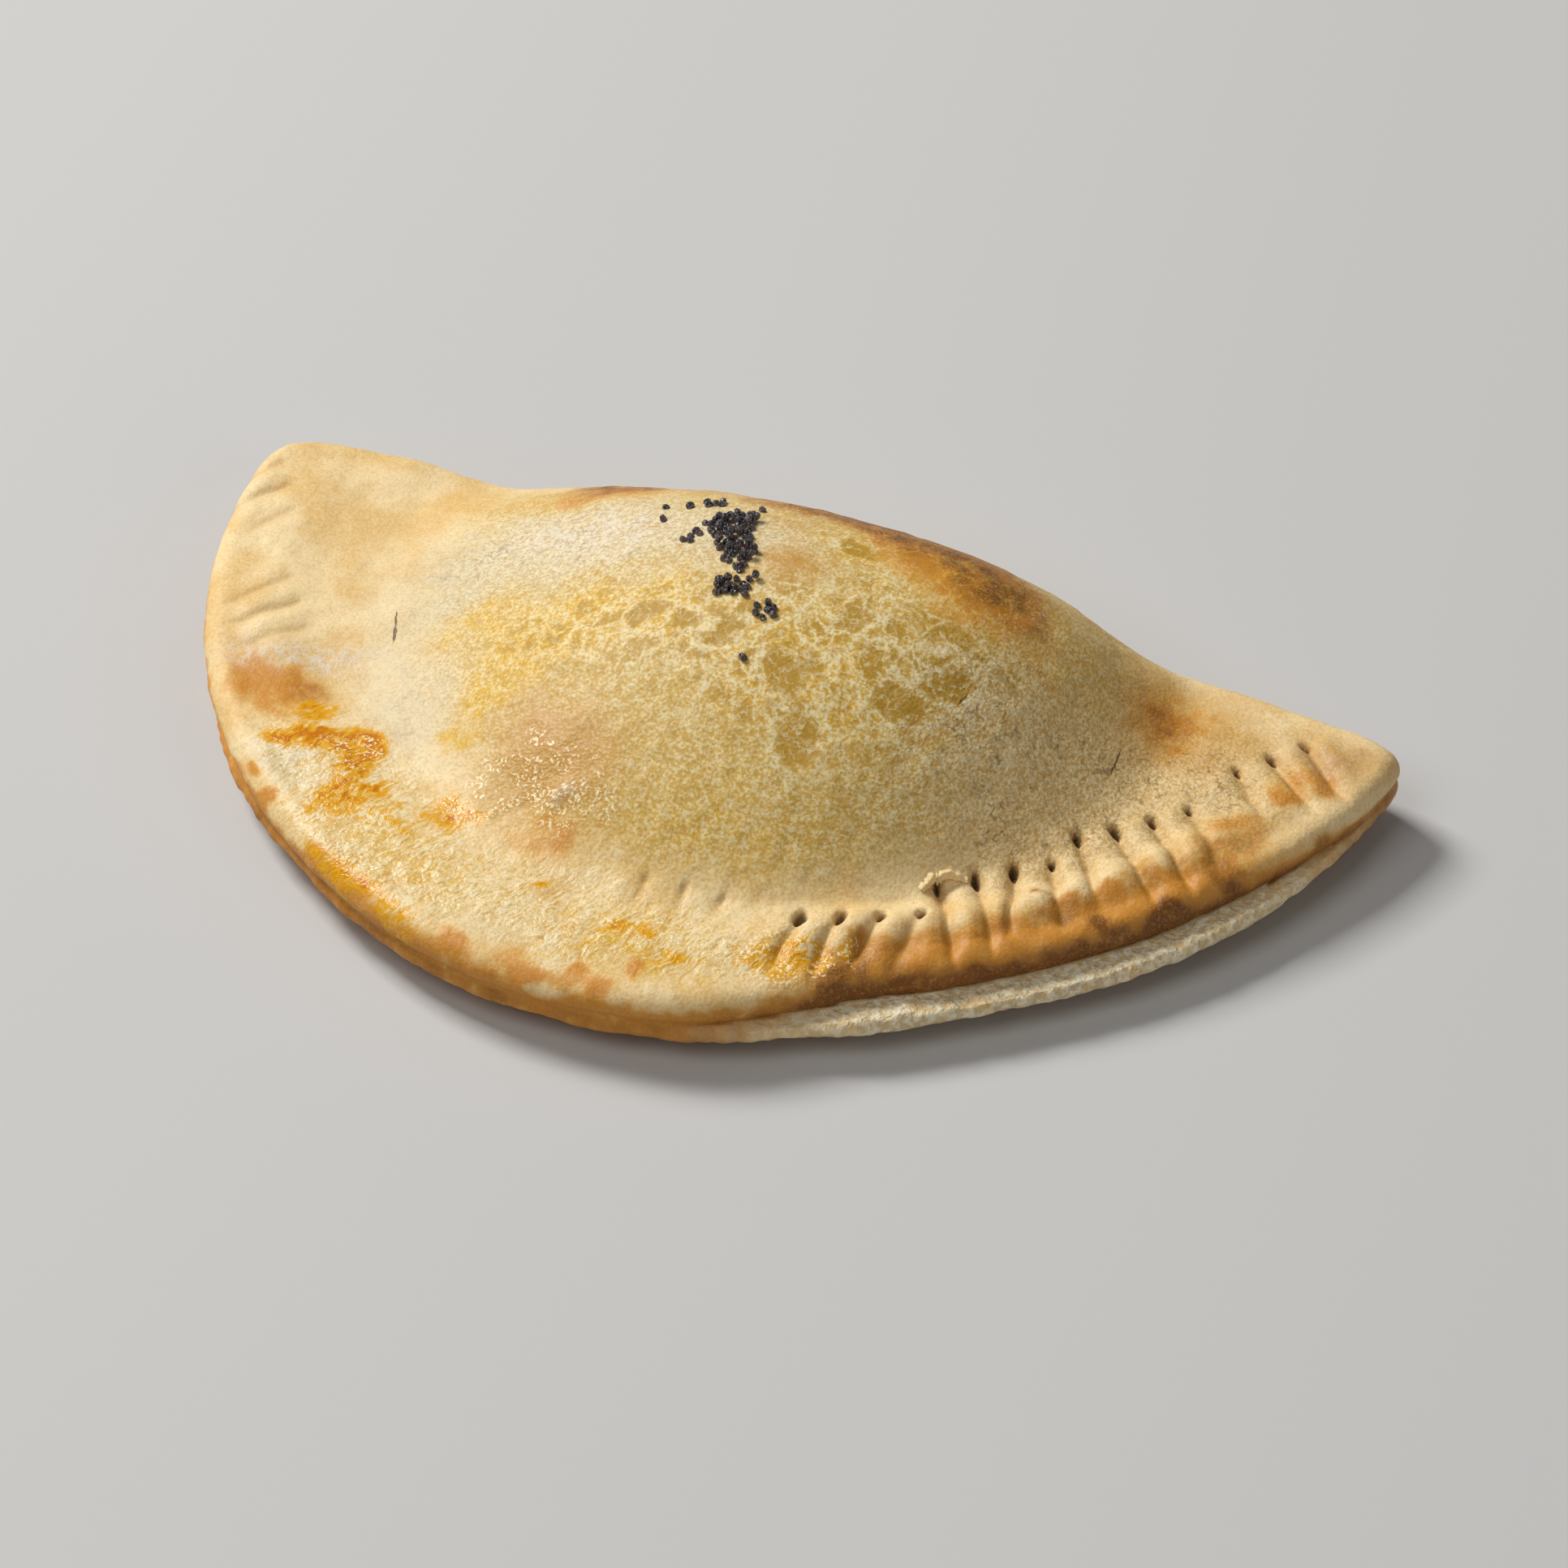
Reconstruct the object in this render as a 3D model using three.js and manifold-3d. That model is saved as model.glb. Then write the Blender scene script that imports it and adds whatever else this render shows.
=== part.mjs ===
// A baked empanada: one disc of dough folded over its filling into a half-moon, its round edge
// pressed shut with a fork, and a pinch of poppy seeds on the crest of the dome.
// Millimetres, +Z up. +X runs from tip to tip, +Y points at the folded back, and the flat
// underside lies on z = 0. The origin is under the middle of the plan.

import * as THREE from "three";
import { mergeVertices } from "three/addons/utils/BufferGeometryUtils.js";
import Module from "manifold-3d";

// Plan, with x along the straight line that joins the two tips and v square to it, towards the fold
const RIM_HALF_LENGTH = 74.7; // half the length of the crimped edge's ellipse
const RIM_REACH = 74.6; // from the tips' line to the middle of the crimped edge
const FOLD_BULGE = 5.4; // how far the folded back swells past the tips' line
const FOLD_RADIUS = 577; // the fold is almost straight
const TIP_SHARPNESS = { left: 17, right: 32 }; // higher numbers round a tip less
const POLE = new THREE.Vector2(2.9, -28.8); // the plan's middle, under the dome
const UNEVEN = { bow: 0.003, squash: -0.01, skew: 0.037, lobes: 0.0145, corners: 0.0065 }; // shares

// Heights
const FLANGE_HEIGHT = 9.1; // top of the two pressed sheets above the table
const DOME_RISE = 18.7; // crest of the dome above the flange
const TIP_RAISE = 1.1; // both tips curl up a little
const TIP_RAISE_POWER = 6; // higher keeps the curl nearer the tips
const EDGE_HEIGHT = 5.2; // where the two sheets meet
const EDGE_ROUND = 4.3; // how far in the rim's rounding goes
const EDGE_BLUFF = 0.6; // below 1 makes the rim's rounding bluffer
const RIM_LIFT = 2.5; // the rim hangs this far clear of the table

// The dome, along the length and across it
const PEAK_X = 4.7;
const LEFT_END = -51.4;
const RIGHT_END = 51.6;
const LEFT_SHOULDER = 1.9; // powers: higher keeps the ridge level for longer
const RIGHT_SHOULDER = 3.6;
const LEFT_EASE = 1.7; // powers: higher runs the ridge out more gently
const RIGHT_EASE = 2.0;
const TOE_HALF_LENGTH = 63.5; // the toe is the line of fork holes at the foot of the dome
const TOE_REACH = 57.7;
const TOE_POWER = 0.8;
const CREST_OFFSET = 20; // from the fold to the crest at mid-length
const BACK_POWER = 2.2;
const BACK_ROUND = 0.6; // below 1 makes the folded back plump

// The open seam: from the front round to the right tip the upper sheet stops short of the lower
const SEAM_STEP = 3.6;
const SEAM_GROOVE = 0.8;
const SEAM_GROOVE_TURN = 0.25; // radians of the rim's rounding
const SEAM_ANGLES = { from: -78, full: -40, fade: -5, shut: 22 }; // degrees round the pole
const BASE_INSET_RIM = 15; // the flat underside starts this far in from the rim
const BASE_INSET_FOLD = 8;
const FLANGE_WIDTH = 16;
const PILLOW_LEFT = 0.4; // the flange swells a little between the fork marks and the edge
const PILLOW_RIGHT = 1.2;

// The fork: one press leaves a row of tine marks. x and v place the middle of the row, line is
// the way the row runs, out is the way the tines lay, and groove and pit are how deep they bit
const TINE_PITCH = 4.65;
const GROOVE_RADIUS = 0.9;
const GROOVE_END = 0.4; // depth of a groove at its outer end
const PIT_RADIUS = 0.95;
const PIT_NARROWS = 0.55; // a pit's floor, as a share of its mouth
const FORK_PRESSES = [
  { x: 62.4, v: -6.6, line: 51, out: -44, tines: 3, length: 8, groove: 0.8, pit: 2.2 },
  { x: 51.8, v: -23.6, line: 44, out: -48, tines: 4, length: 7.5, groove: 0.8, pit: 2.2 },
  { x: 40.5, v: -38.2, line: 43, out: -63, tines: 4, length: 7.5, groove: 0.8, pit: 2.2 },
  { x: 29.4, v: -51.6, line: 28, out: -89, tines: 4, length: 7.5, groove: 0.7, pit: 2 },
  { x: 9.4, v: -56.8, line: 6, out: -95, tines: 3, length: 3, groove: 0.4, pit: 0 },
  { x: -55.3, v: -29.3, line: -49, out: -130, tines: 3, length: 8.5, groove: 0.9, pit: 0 },
  { x: -66.7, v: -10.6, line: -55, out: -124, tines: 3, length: 6, groove: 0.7, pit: 0 },
];

// A crag of torn dough beside one fork hole
const CRAG = { x: 34.8, v: -41.8, long: 2.6, wide: 1.2, high: 1.2, turn: 45 };

// Poppy seeds, in patches on the crest: half sizes along and across, a taper and a turn
const SEED_SIZE = 1.05;
const SEED_PITCH = 1.15;
const SEED_SINK = 0.3; // share of its height that a seed is baked into the crust
const SEED_JITTER = 0.05;
const SEED_TURN = 30; // how far, for its jitter, a seed is turned about the upright
const SEED_PATCHES = [
  { x: -3.2, v: -15.2, long: 6.3, wide: 2.8, taper: 0.3, turn: 126 },
  { x: 0.1, v: -22.9, long: 1.9, wide: 1.9, taper: 0, turn: 115 },
  { x: 4.9, v: -24.8, long: 1.8, wide: 1.5, taper: 0, turn: 35 },
  { x: -9.2, v: -15.3, long: 1.9, wide: 1.2, taper: 0, turn: 20 },
  { x: -9.4, v: -7.8, long: 2.3, wide: 0.9, taper: 0, turn: 25 },
  { x: -15.2, v: -9.4, long: 1.2, wide: 0.4, taper: 0, turn: 25 },
  { x: -14.3, v: -12.4, long: 1.2, wide: 0.4, taper: 0, turn: 25 },
  { x: -12.0, v: -9.1, long: 0.4, wide: 0.4, taper: 0, turn: 0 },
  { x: -3.2, v: -8.2, long: 1.2, wide: 0.4, taper: 0, turn: 25 },
  { x: 5.6, v: -31.7, long: 0.4, wide: 0.4, taper: 0, turn: 0 },
];

// Rows of the crust's grid, from the crest down to the middle of the underside
const AROUND = 124;
const TOP_ROWS = 13;
const EDGE_ROWS = 6;
const UNDER_ROWS = 2;
const BASE_ROWS = 1;

const wasm = await Module();
wasm.setup();

const { clamp, lerp, smoothstep, degToRad, radToDeg } = THREE.MathUtils;

// Distance from the pole to an ellipse, along a ray at the given angle
function rayToEllipse(angle, centre, semi) {
  const px = (POLE.x - centre.x) / semi.x;
  const py = (POLE.y - centre.y) / semi.y;
  const dx = Math.cos(angle) / semi.x;
  const dy = Math.sin(angle) / semi.y;
  const half = px * dx + py * dy;
  const square = dx * dx + dy * dy;
  return (-half + Math.sqrt(half * half - square * (px * px + py * py - 1))) / square;
}

// The plan's reach at an angle: the nearer of the rim's ellipse and the fold's arc, rounded where
// they meet, with the unevenness of a hand-shaped edge. Also the share that belongs to the fold
function planAt(angle) {
  const rimSize = new THREE.Vector2(RIM_HALF_LENGTH, RIM_REACH);
  const rim = rayToEllipse(angle, new THREE.Vector2(0, 0), rimSize);
  const foldCentre = new THREE.Vector2(0, FOLD_BULGE - FOLD_RADIUS);
  const fold = rayToEllipse(angle, foldCentre, new THREE.Vector2(FOLD_RADIUS, FOLD_RADIUS));
  const sharpness = lerp(TIP_SHARPNESS.left, TIP_SHARPNESS.right, (1 + Math.cos(angle)) / 2);
  const rimWeight = (fold / rim) ** sharpness;
  const uneven =
    UNEVEN.bow * Math.cos(angle) +
    UNEVEN.squash * Math.cos(2 * angle) +
    UNEVEN.skew * Math.sin(2 * angle) +
    UNEVEN.lobes * Math.sin(3 * angle) +
    UNEVEN.corners * Math.cos(4 * angle);
  return {
    reach: fold * (1 + rimWeight) ** (-1 / sharpness) * (1 + uneven),
    foldShare: 1 / (1 + rimWeight),
  };
}

// Height of the ridge at x as a share of the dome's rise: 1 at the peak, 0 at both ends
function ridgeAt(x) {
  const left = x < PEAK_X;
  const away = clamp((x - PEAK_X) / ((left ? LEFT_END : RIGHT_END) - PEAK_X), 0, 1);
  return left ? (1 - away ** LEFT_SHOULDER) ** LEFT_EASE : (1 - away ** RIGHT_SHOULDER) ** RIGHT_EASE;
}

// Height of the dome above the flange: a parabola from crest to toe, a plump curve to the fold
function domeAt(x, v) {
  const width = Math.max(1 - (x / TOE_HALF_LENGTH) ** 2, 1e-4) ** TOE_POWER;
  const toe = -TOE_REACH * width;
  const fold = FOLD_BULGE - (x * x) / (2 * FOLD_RADIUS);
  const crest = fold - CREST_OFFSET * width;
  const front = clamp((crest - v) / (crest - toe), 0, 1);
  const back = clamp((v - crest) / (fold - crest), 0, 1);
  const across = v < crest ? 1 - front ** 2 : (1 - back ** BACK_POWER) ** BACK_ROUND;
  return DOME_RISE * ridgeAt(x) * across;
}

// How far the seam gapes at an angle, from 0 where it is shut to 1
function seamAt(angle) {
  const degrees = radToDeg(angle);
  const opening = smoothstep(degrees, SEAM_ANGLES.from, SEAM_ANGLES.full);
  return opening * (1 - smoothstep(degrees, SEAM_ANGLES.fade, SEAM_ANGLES.shut));
}

// A point of the crust at an angle round the pole and a row of the grid
function crustPoint(angle, row, target) {
  const { reach, foldShare } = planAt(angle);
  const ridge = ridgeAt(POLE.x + reach * Math.cos(angle));
  const rimShare = 1 - foldShare;
  const edgeHeight = EDGE_HEIGHT + (FLANGE_HEIGHT - EDGE_HEIGHT) * foldShare * ridge;
  const seamOpen = rimShare * seamAt(angle);
  const step = SEAM_STEP * seamOpen;
  const pillow = PILLOW_LEFT * rimShare + (PILLOW_RIGHT - PILLOW_LEFT) * seamOpen;
  const lift = RIM_LIFT * rimShare;
  const inset = BASE_INSET_FOLD + (BASE_INSET_RIM - BASE_INSET_FOLD) * rimShare;
  let inward;
  let height = 0;
  if (row <= TOP_ROWS) {
    inward = reach - ((reach - EDGE_ROUND) * row) / TOP_ROWS;
    const across = clamp((inward - EDGE_ROUND) / (FLANGE_WIDTH - EDGE_ROUND), 0, 1);
    height = FLANGE_HEIGHT + pillow * Math.sin(Math.PI * across);
    inward += step * (1 - across);
  } else if (row <= TOP_ROWS + EDGE_ROWS) {
    const turn = Math.PI * (0.5 - (row - TOP_ROWS) / EDGE_ROWS);
    const up = turn > 0;
    inward = EDGE_ROUND * (1 - Math.abs(Math.cos(turn)) ** EDGE_BLUFF);
    height = edgeHeight + Math.sin(turn) * (up ? FLANGE_HEIGHT - edgeHeight : edgeHeight - lift);
    inward += up ? step : 0;
    inward += SEAM_GROOVE * rimShare * Math.exp(-((turn / SEAM_GROOVE_TURN) ** 2));
  } else if (row <= TOP_ROWS + EDGE_ROWS + UNDER_ROWS) {
    const under = (row - TOP_ROWS - EDGE_ROWS) / UNDER_ROWS;
    inward = EDGE_ROUND + (inset - EDGE_ROUND) * under;
    height = lift * (1 - under) ** 2;
  } else {
    const base = (row - TOP_ROWS - EDGE_ROWS - UNDER_ROWS) / BASE_ROWS;
    inward = inset + (reach - inset) * base;
  }
  const x = POLE.x + (reach - inward) * Math.cos(angle);
  const v = POLE.y + (reach - inward) * Math.sin(angle);
  const onTop = row <= TOP_ROWS + EDGE_ROWS / 2;
  const raise = TIP_RAISE * (Math.abs(x) / RIM_HALF_LENGTH) ** TIP_RAISE_POWER;
  return target.set(x, v, height + (onTop ? domeAt(x, v) + raise : 0));
}

// A closed three.js geometry as a solid
function solidOf(geometry) {
  const bare = geometry.clone();
  bare.deleteAttribute("normal");
  bare.deleteAttribute("uv");
  const merged = mergeVertices(bare, 1e-4);
  return new wasm.Manifold(
    new wasm.Mesh({
      numProp: 3,
      vertProperties: merged.attributes.position.array,
      triVerts: new Uint32Array(merged.index.array),
    }),
  );
}

// A solid as a three.js geometry
function geometryOf(solid) {
  const mesh = solid.getMesh();
  return new THREE.BufferGeometry()
    .setAttribute("position", new THREE.BufferAttribute(mesh.vertProperties, mesh.numProp))
    .setIndex(new THREE.BufferAttribute(mesh.triVerts, 1));
}

// Angles that step evenly along the plan's outline, so that the tight tips get their share
function evenAngles() {
  const outline = new THREE.CatmullRomCurve3([], true);
  const fine = 6 * AROUND;
  for (let i = 0; i < fine; i++) {
    const angle = (2 * Math.PI * i) / fine;
    const { reach } = planAt(angle);
    outline.points.push(new THREE.Vector3(reach * Math.cos(angle), reach * Math.sin(angle), 0));
  }
  outline.arcLengthDivisions = fine;
  return outline.getSpacedPoints(AROUND).map((point) => Math.atan2(point.y, point.x));
}

// The bare crust: a sphere's grid, moulded row by row
function makeCrust() {
  const rows = TOP_ROWS + EDGE_ROWS + UNDER_ROWS + BASE_ROWS;
  const geometry = new THREE.SphereGeometry(1, AROUND, rows).rotateX(Math.PI / 2);
  const { position, uv } = geometry.attributes;
  const angles = evenAngles();
  const point = new THREE.Vector3();
  for (let i = 0; i < position.count; i++) {
    const turns = Math.atan2(position.getY(i), position.getX(i)) / (2 * Math.PI);
    const column = Math.round(AROUND * turns);
    const row = Math.round((1 - uv.getY(i)) * rows);
    crustPoint(angles[(column + AROUND) % AROUND], row, point);
    position.setXYZ(i, point.x, point.y, point.z);
  }
  return geometry;
}

// Height of the crust's upper face over a point of the plan, found by a ray straight down
const downward = new THREE.Raycaster();
function crustHeight(crustMesh, x, v) {
  downward.set(new THREE.Vector3(x, v, 100), new THREE.Vector3(0, 0, -1));
  const hits = downward.intersectObject(crustMesh);
  return hits.length ? hits[0].point.z : 0;
}

// A six-sided rod between two points
function makeRod(from, to, radius) {
  const along = new THREE.Vector3().subVectors(to, from);
  const rod = new THREE.CylinderGeometry(radius, radius, along.length(), 6);
  const direction = along.clone().normalize();
  const turn = new THREE.Quaternion().setFromUnitVectors(new THREE.Vector3(0, 1, 0), direction);
  const middle = new THREE.Vector3().addVectors(from, to).multiplyScalar(0.5);
  return rod.applyQuaternion(turn).translate(middle.x, middle.y, middle.z);
}

// The marks of one press: each tine lies in a groove that runs outwards, and its tip digs a pit
function pressMarks(crustMesh, press) {
  const upright = new THREE.Vector3(0, 0, 1);
  const rowWay = new THREE.Vector3(1, 0, 0).applyAxisAngle(upright, degToRad(press.line));
  const tineWay = new THREE.Vector3(1, 0, 0).applyAxisAngle(upright, degToRad(press.out));
  const marks = [];
  for (let i = 0; i < press.tines; i++) {
    const along = (i - (press.tines - 1) / 2) * TINE_PITCH;
    const tip = new THREE.Vector3(press.x, press.v, 0);
    tip.addScaledVector(rowWay, along);
    const end = tip.clone().addScaledVector(tineWay, press.length);
    tip.z = crustHeight(crustMesh, tip.x, tip.y);
    end.z = crustHeight(crustMesh, end.x, end.y) + GROOVE_RADIUS - GROOVE_END;
    if (press.pit > 0) {
      const pit = new THREE.CylinderGeometry(PIT_RADIUS, PIT_RADIUS * PIT_NARROWS, 2 * press.pit, 6);
      marks.push(pit.rotateX(Math.PI / 2).translate(tip.x, tip.y, tip.z));
    }
    tip.z += GROOVE_RADIUS - press.groove;
    marks.push(makeRod(tip, end, GROOVE_RADIUS));
  }
  return marks;
}

// A number from 0 to 1 that is always the same for the same two whole numbers
function scatter(i, j) {
  const wave = Math.sin(i * 12.9898 + j * 78.233) * 43758.5453;
  return wave - Math.floor(wave);
}

// The seeds of one patch: a close-packed lattice, jostled, kept where it falls inside the patch
function patchSeeds(crustMesh, patch, patchNumber) {
  const turn = degToRad(patch.turn);
  const seeds = [];
  const rowPitch = SEED_PITCH * Math.sqrt(0.75);
  const rows = Math.ceil(patch.long / rowPitch);
  const columns = Math.ceil((patch.wide * (1 + patch.taper)) / SEED_PITCH);
  for (let i = -rows; i <= rows; i++) {
    for (let j = -columns; j <= columns; j++) {
      const shake = (k) => SEED_JITTER * (2 * scatter(i + 31 * patchNumber, j + k) - 1);
      const along = i * rowPitch;
      const across = (j + (Math.abs(i) % 2) / 2) * SEED_PITCH;
      const width = patch.wide * (1 + (patch.taper * along) / patch.long);
      if ((along / patch.long) ** 2 + (across / width) ** 2 > 1) continue;
      const x = patch.x + along * Math.cos(turn) - across * Math.sin(turn) + shake(100);
      const v = patch.v + along * Math.sin(turn) + across * Math.cos(turn) + shake(200);
      const z = crustHeight(crustMesh, x, v) + SEED_SIZE * (0.5 - SEED_SINK);
      const seed = new THREE.IcosahedronGeometry(SEED_SIZE / 2, 0);
      seeds.push(seed.rotateZ(shake(300) * SEED_TURN).translate(x, v, z));
    }
  }
  return seeds;
}

// The crag: a squashed splinter of dough that stands up beside a fork hole
function makeCrag(crustMesh) {
  return new THREE.IcosahedronGeometry(1, 0)
    .scale(CRAG.long, CRAG.wide, CRAG.high)
    .rotateZ(degToRad(CRAG.turn))
    .translate(CRAG.x, CRAG.v, crustHeight(crustMesh, CRAG.x, CRAG.v));
}

function makeEmpanada() {
  const crust = makeCrust();
  const crustMesh = new THREE.Mesh(crust);
  const marks = FORK_PRESSES.flatMap((press) => pressMarks(crustMesh, press));
  const seeds = SEED_PATCHES.flatMap((patch, number) => patchSeeds(crustMesh, patch, number));
  const marked = solidOf(crust).subtract(wasm.Manifold.union(marks.map(solidOf)));
  const raised = [makeCrag(crustMesh), ...seeds].map(solidOf);
  return geometryOf(marked.add(wasm.Manifold.union(raised)));
}

const geometry = makeEmpanada();
geometry.computeBoundingBox();
const middle = geometry.boundingBox.getCenter(new THREE.Vector3());
geometry.translate(-middle.x, -middle.y, 0);

const bakedDough = new THREE.MeshStandardMaterial({ color: 0xd9b56e, roughness: 0.7, metalness: 0 });
const empanada = new THREE.Mesh(geometry, bakedDough);
empanada.name = "empanada";

const part = new THREE.Group();
part.add(empanada);

export default part;
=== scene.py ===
# %% [markdown]
# # A baked empanada
# An empanada is one disc of dough, folded over its filling and pressed shut with a fork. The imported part
# gives its size and its place, so it is loaded first. Its box is kept, to compare with the finished model
# at the end.

# %% Load the frame
import itertools
from collections import namedtuple

import bpy
import numpy as np
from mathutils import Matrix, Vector


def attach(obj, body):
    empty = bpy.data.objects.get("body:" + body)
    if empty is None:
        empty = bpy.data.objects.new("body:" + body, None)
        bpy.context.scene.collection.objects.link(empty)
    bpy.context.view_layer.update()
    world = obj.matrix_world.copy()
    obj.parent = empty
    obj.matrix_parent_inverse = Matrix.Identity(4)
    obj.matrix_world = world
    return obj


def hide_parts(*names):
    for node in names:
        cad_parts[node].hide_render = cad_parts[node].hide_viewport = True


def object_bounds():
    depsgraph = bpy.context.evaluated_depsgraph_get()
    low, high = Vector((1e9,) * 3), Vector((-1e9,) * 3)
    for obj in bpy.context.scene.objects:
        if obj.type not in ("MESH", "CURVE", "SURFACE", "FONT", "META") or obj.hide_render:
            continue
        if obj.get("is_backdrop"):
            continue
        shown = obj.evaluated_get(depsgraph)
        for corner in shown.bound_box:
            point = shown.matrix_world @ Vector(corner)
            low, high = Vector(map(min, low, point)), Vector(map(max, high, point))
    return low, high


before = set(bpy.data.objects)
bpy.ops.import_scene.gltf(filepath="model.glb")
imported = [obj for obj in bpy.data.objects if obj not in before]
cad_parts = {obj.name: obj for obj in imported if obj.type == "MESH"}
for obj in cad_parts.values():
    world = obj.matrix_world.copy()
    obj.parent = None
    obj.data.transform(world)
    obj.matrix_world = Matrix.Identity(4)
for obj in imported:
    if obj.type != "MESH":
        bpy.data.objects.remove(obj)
cad_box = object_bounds()
print("CAD box in mm:", [[round(1000 * side, 2) for side in corner] for corner in cad_box])

# %% [markdown]
# ## Camera
# A long lens from about 0.7 m keeps the near rim and the far tip at almost the same scale, as in a
# catalogue picture. The camera looks down at 43 degrees, from a little to the right of the crimped front.

# %% The camera
CAMERA_AZIMUTH = np.radians(24.5)  # from the front, round towards +X
CAMERA_ELEVATION = np.radians(43)
CAMERA_DISTANCE = 0.6913
CAMERA_TARGET = Vector((0.00991, 0.00043, 0.00962))


def direction(azimuth, elevation):
    """The unit vector that points from the object to an azimuth and elevation in radians."""
    level = np.cos(elevation)
    return Vector((np.sin(azimuth) * level, -np.cos(azimuth) * level, np.sin(elevation)))


lens = bpy.data.cameras.new("camera")
lens.lens = 135
lens.sensor_width = 36
lens.clip_start = 0.01
camera = bpy.data.objects.new("camera", lens)
camera_way = direction(CAMERA_AZIMUTH, CAMERA_ELEVATION)
camera.location = CAMERA_TARGET + CAMERA_DISTANCE * camera_way
camera.rotation_euler = camera_way.to_track_quat("Z", "Y").to_euler()
bpy.context.scene.collection.objects.link(camera)
bpy.context.scene.camera = camera
print("camera at", [round(side, 3) for side in camera.location])

# %% [markdown]
# ## A short way to write finishes
# A material is a web of nodes, and a web is hard to read in a script. Here a socket is wrapped in a small
# class, so that masks are written as sums: `1 - mask` adds a Math node by itself. Every other node comes
# from one method, which takes the node's type, its settings, and the values or links of its sockets.


# %% Sockets as numbers
class Tint:
    """A socket of a finish. Each operator on it adds one Math node."""

    def __init__(self, finish, socket):
        self.finish = finish
        self.socket = socket

    def math(self, operation, *values):
        """The result of one Math node."""
        return self.finish.node("ShaderNodeMath", {"operation": operation}, values)

    def __add__(self, other):
        return self.math("ADD", self, other)

    def __sub__(self, other):
        return self.math("SUBTRACT", self, other)

    def __rsub__(self, other):
        return self.math("SUBTRACT", other, self)

    def __mul__(self, other):
        return self.math("MULTIPLY", self, other)

    def __abs__(self):
        return self.math("ABSOLUTE", self)

    __radd__ = __add__
    __rmul__ = __mul__

    def over(self, other):
        """The greater of two masks."""
        return self.math("MAXIMUM", self, other)

    def climb(self, low, high):
        """0 up to low, 1 from high on, and a smooth climb between them."""
        ends = {"Value": self, "From Min": low, "From Max": high}
        return self.finish.node("ShaderNodeMapRange", {"interpolation_type": "SMOOTHSTEP"}, ends)


# %% A finish
def colour(code):
    """A six-digit screen colour as the linear colour that a shader takes."""
    screen = np.array([int(code[i : i + 2], 16) / 255 for i in (0, 2, 4)])
    linear = np.where(screen <= 0.04045, screen / 12.92, ((screen + 0.055) / 1.055) ** 2.4)
    return (*linear.tolist(), 1.0)


class Finish:
    """A material with one Principled shader, and the nodes that feed it."""

    def __init__(self, name, **constants):
        self.material = bpy.data.materials.new(name)
        self.material.use_nodes = True
        self.tree = self.material.node_tree
        self.shader = self.tree.nodes["Principled BSDF"]
        self.dress(**constants)
        metres = self.node("ShaderNodeTexCoord", output="Object")
        self.place = self.vector("MULTIPLY", metres, (1000, 1000, 1000))

    def node(self, kind, settings=None, inputs=(), output=0):
        """Adds a node, sets it up, feeds its sockets and returns one of its outputs."""
        node = self.tree.nodes.new(kind)
        for name, value in (settings or {}).items():
            setattr(node, name, value)
        self.feed(node, inputs)
        return Tint(self, node.outputs[output])

    def feed(self, node, inputs):
        """Links a node's sockets, by name or in order, or sets their values."""
        pairs = inputs.items() if isinstance(inputs, dict) else enumerate(inputs)
        for name, value in pairs:
            if isinstance(value, Tint):
                self.tree.links.new(value.socket, node.inputs[name])
            else:
                node.inputs[name].default_value = value

    def vector(self, operation, *values, output="Vector"):
        """The result of one Vector Math node."""
        return self.node("ShaderNodeVectorMath", {"operation": operation}, values, output)

    def mix(self, mask, without, covered):
        """One colour where the mask is 0, another where it is 1."""
        return self.node("ShaderNodeMix", {"data_type": "RGBA"}, {0: mask, 6: without, 7: covered}, 2)

    def layered(self, ground, *layers):
        """A ground colour with other colours mixed over it in turn, each by its mask."""
        for mask, covering in layers:
            ground = self.mix(mask, ground, covering)
        return ground

    def bump(self, height):
        """The direction out of a surface that has a fine relief, given as a height in mm."""
        relief = {"Strength": 1.0, "Distance": 0.001, "Height": height}
        return self.node("ShaderNodeBump", {}, relief, "Normal")

    def field(self, name):
        """A value that the mesh carries at its vertices."""
        return self.node("ShaderNodeAttribute", {"attribute_name": name}, output="Fac")

    def cloud(self, size, detail=2.0, at=None, output="Fac"):
        """Cloudy noise around 0.5, with lumps of about the given size in mm."""
        inputs = {"Vector": at or self.place, "Scale": 1 / size, "Detail": detail}
        return self.node("ShaderNodeTexNoise", {}, inputs, output)

    def pushed(self, size, reach, at=None):
        """The place in mm, pushed about by up to half of reach, so that a pattern on it wanders."""
        push = self.vector("SUBTRACT", self.cloud(size, output="Color"), (0.5, 0.5, 0.5))
        return self.vector("MULTIPLY_ADD", push, (reach, reach, reach), at or self.place)

    def lines(self, size, wide, at):
        """Thin winding lines: 1 where cloudy noise of that size is at its mean, fading over the width."""
        off_mean = self.cloud(size, 2.0, at) - 0.5
        return 1 - abs(off_mean).climb(0.0, wide)

    def walls(self, size, at):
        """Distance to the nearest wall in a flat net of cells of that size, as a share of the size."""
        inputs = {"Vector": at, "Scale": 1 / size}
        settings = {"voronoi_dimensions": "2D", "feature": "DISTANCE_TO_EDGE"}
        return self.node("ShaderNodeTexVoronoi", settings, inputs, "Distance")

    def turned(self, middle, turn, sizes, at=None):
        """The place measured from a middle, along and across a turn in degrees, in units of the sizes."""
        inputs = {"Vector": at or self.place, "Location": middle, "Scale": sizes}
        inputs["Rotation"] = (0, 0, np.radians(turn))
        return self.node("ShaderNodeMapping", {"vector_type": "TEXTURE"}, inputs)

    def dress(self, **inputs):
        """Sets sockets of the Principled shader, or links what varies over the surface to them."""
        self.feed(self.shader, {name.replace("_", " "): value for name, value in inputs.items()})


print("finishes are ready to be written")

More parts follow.
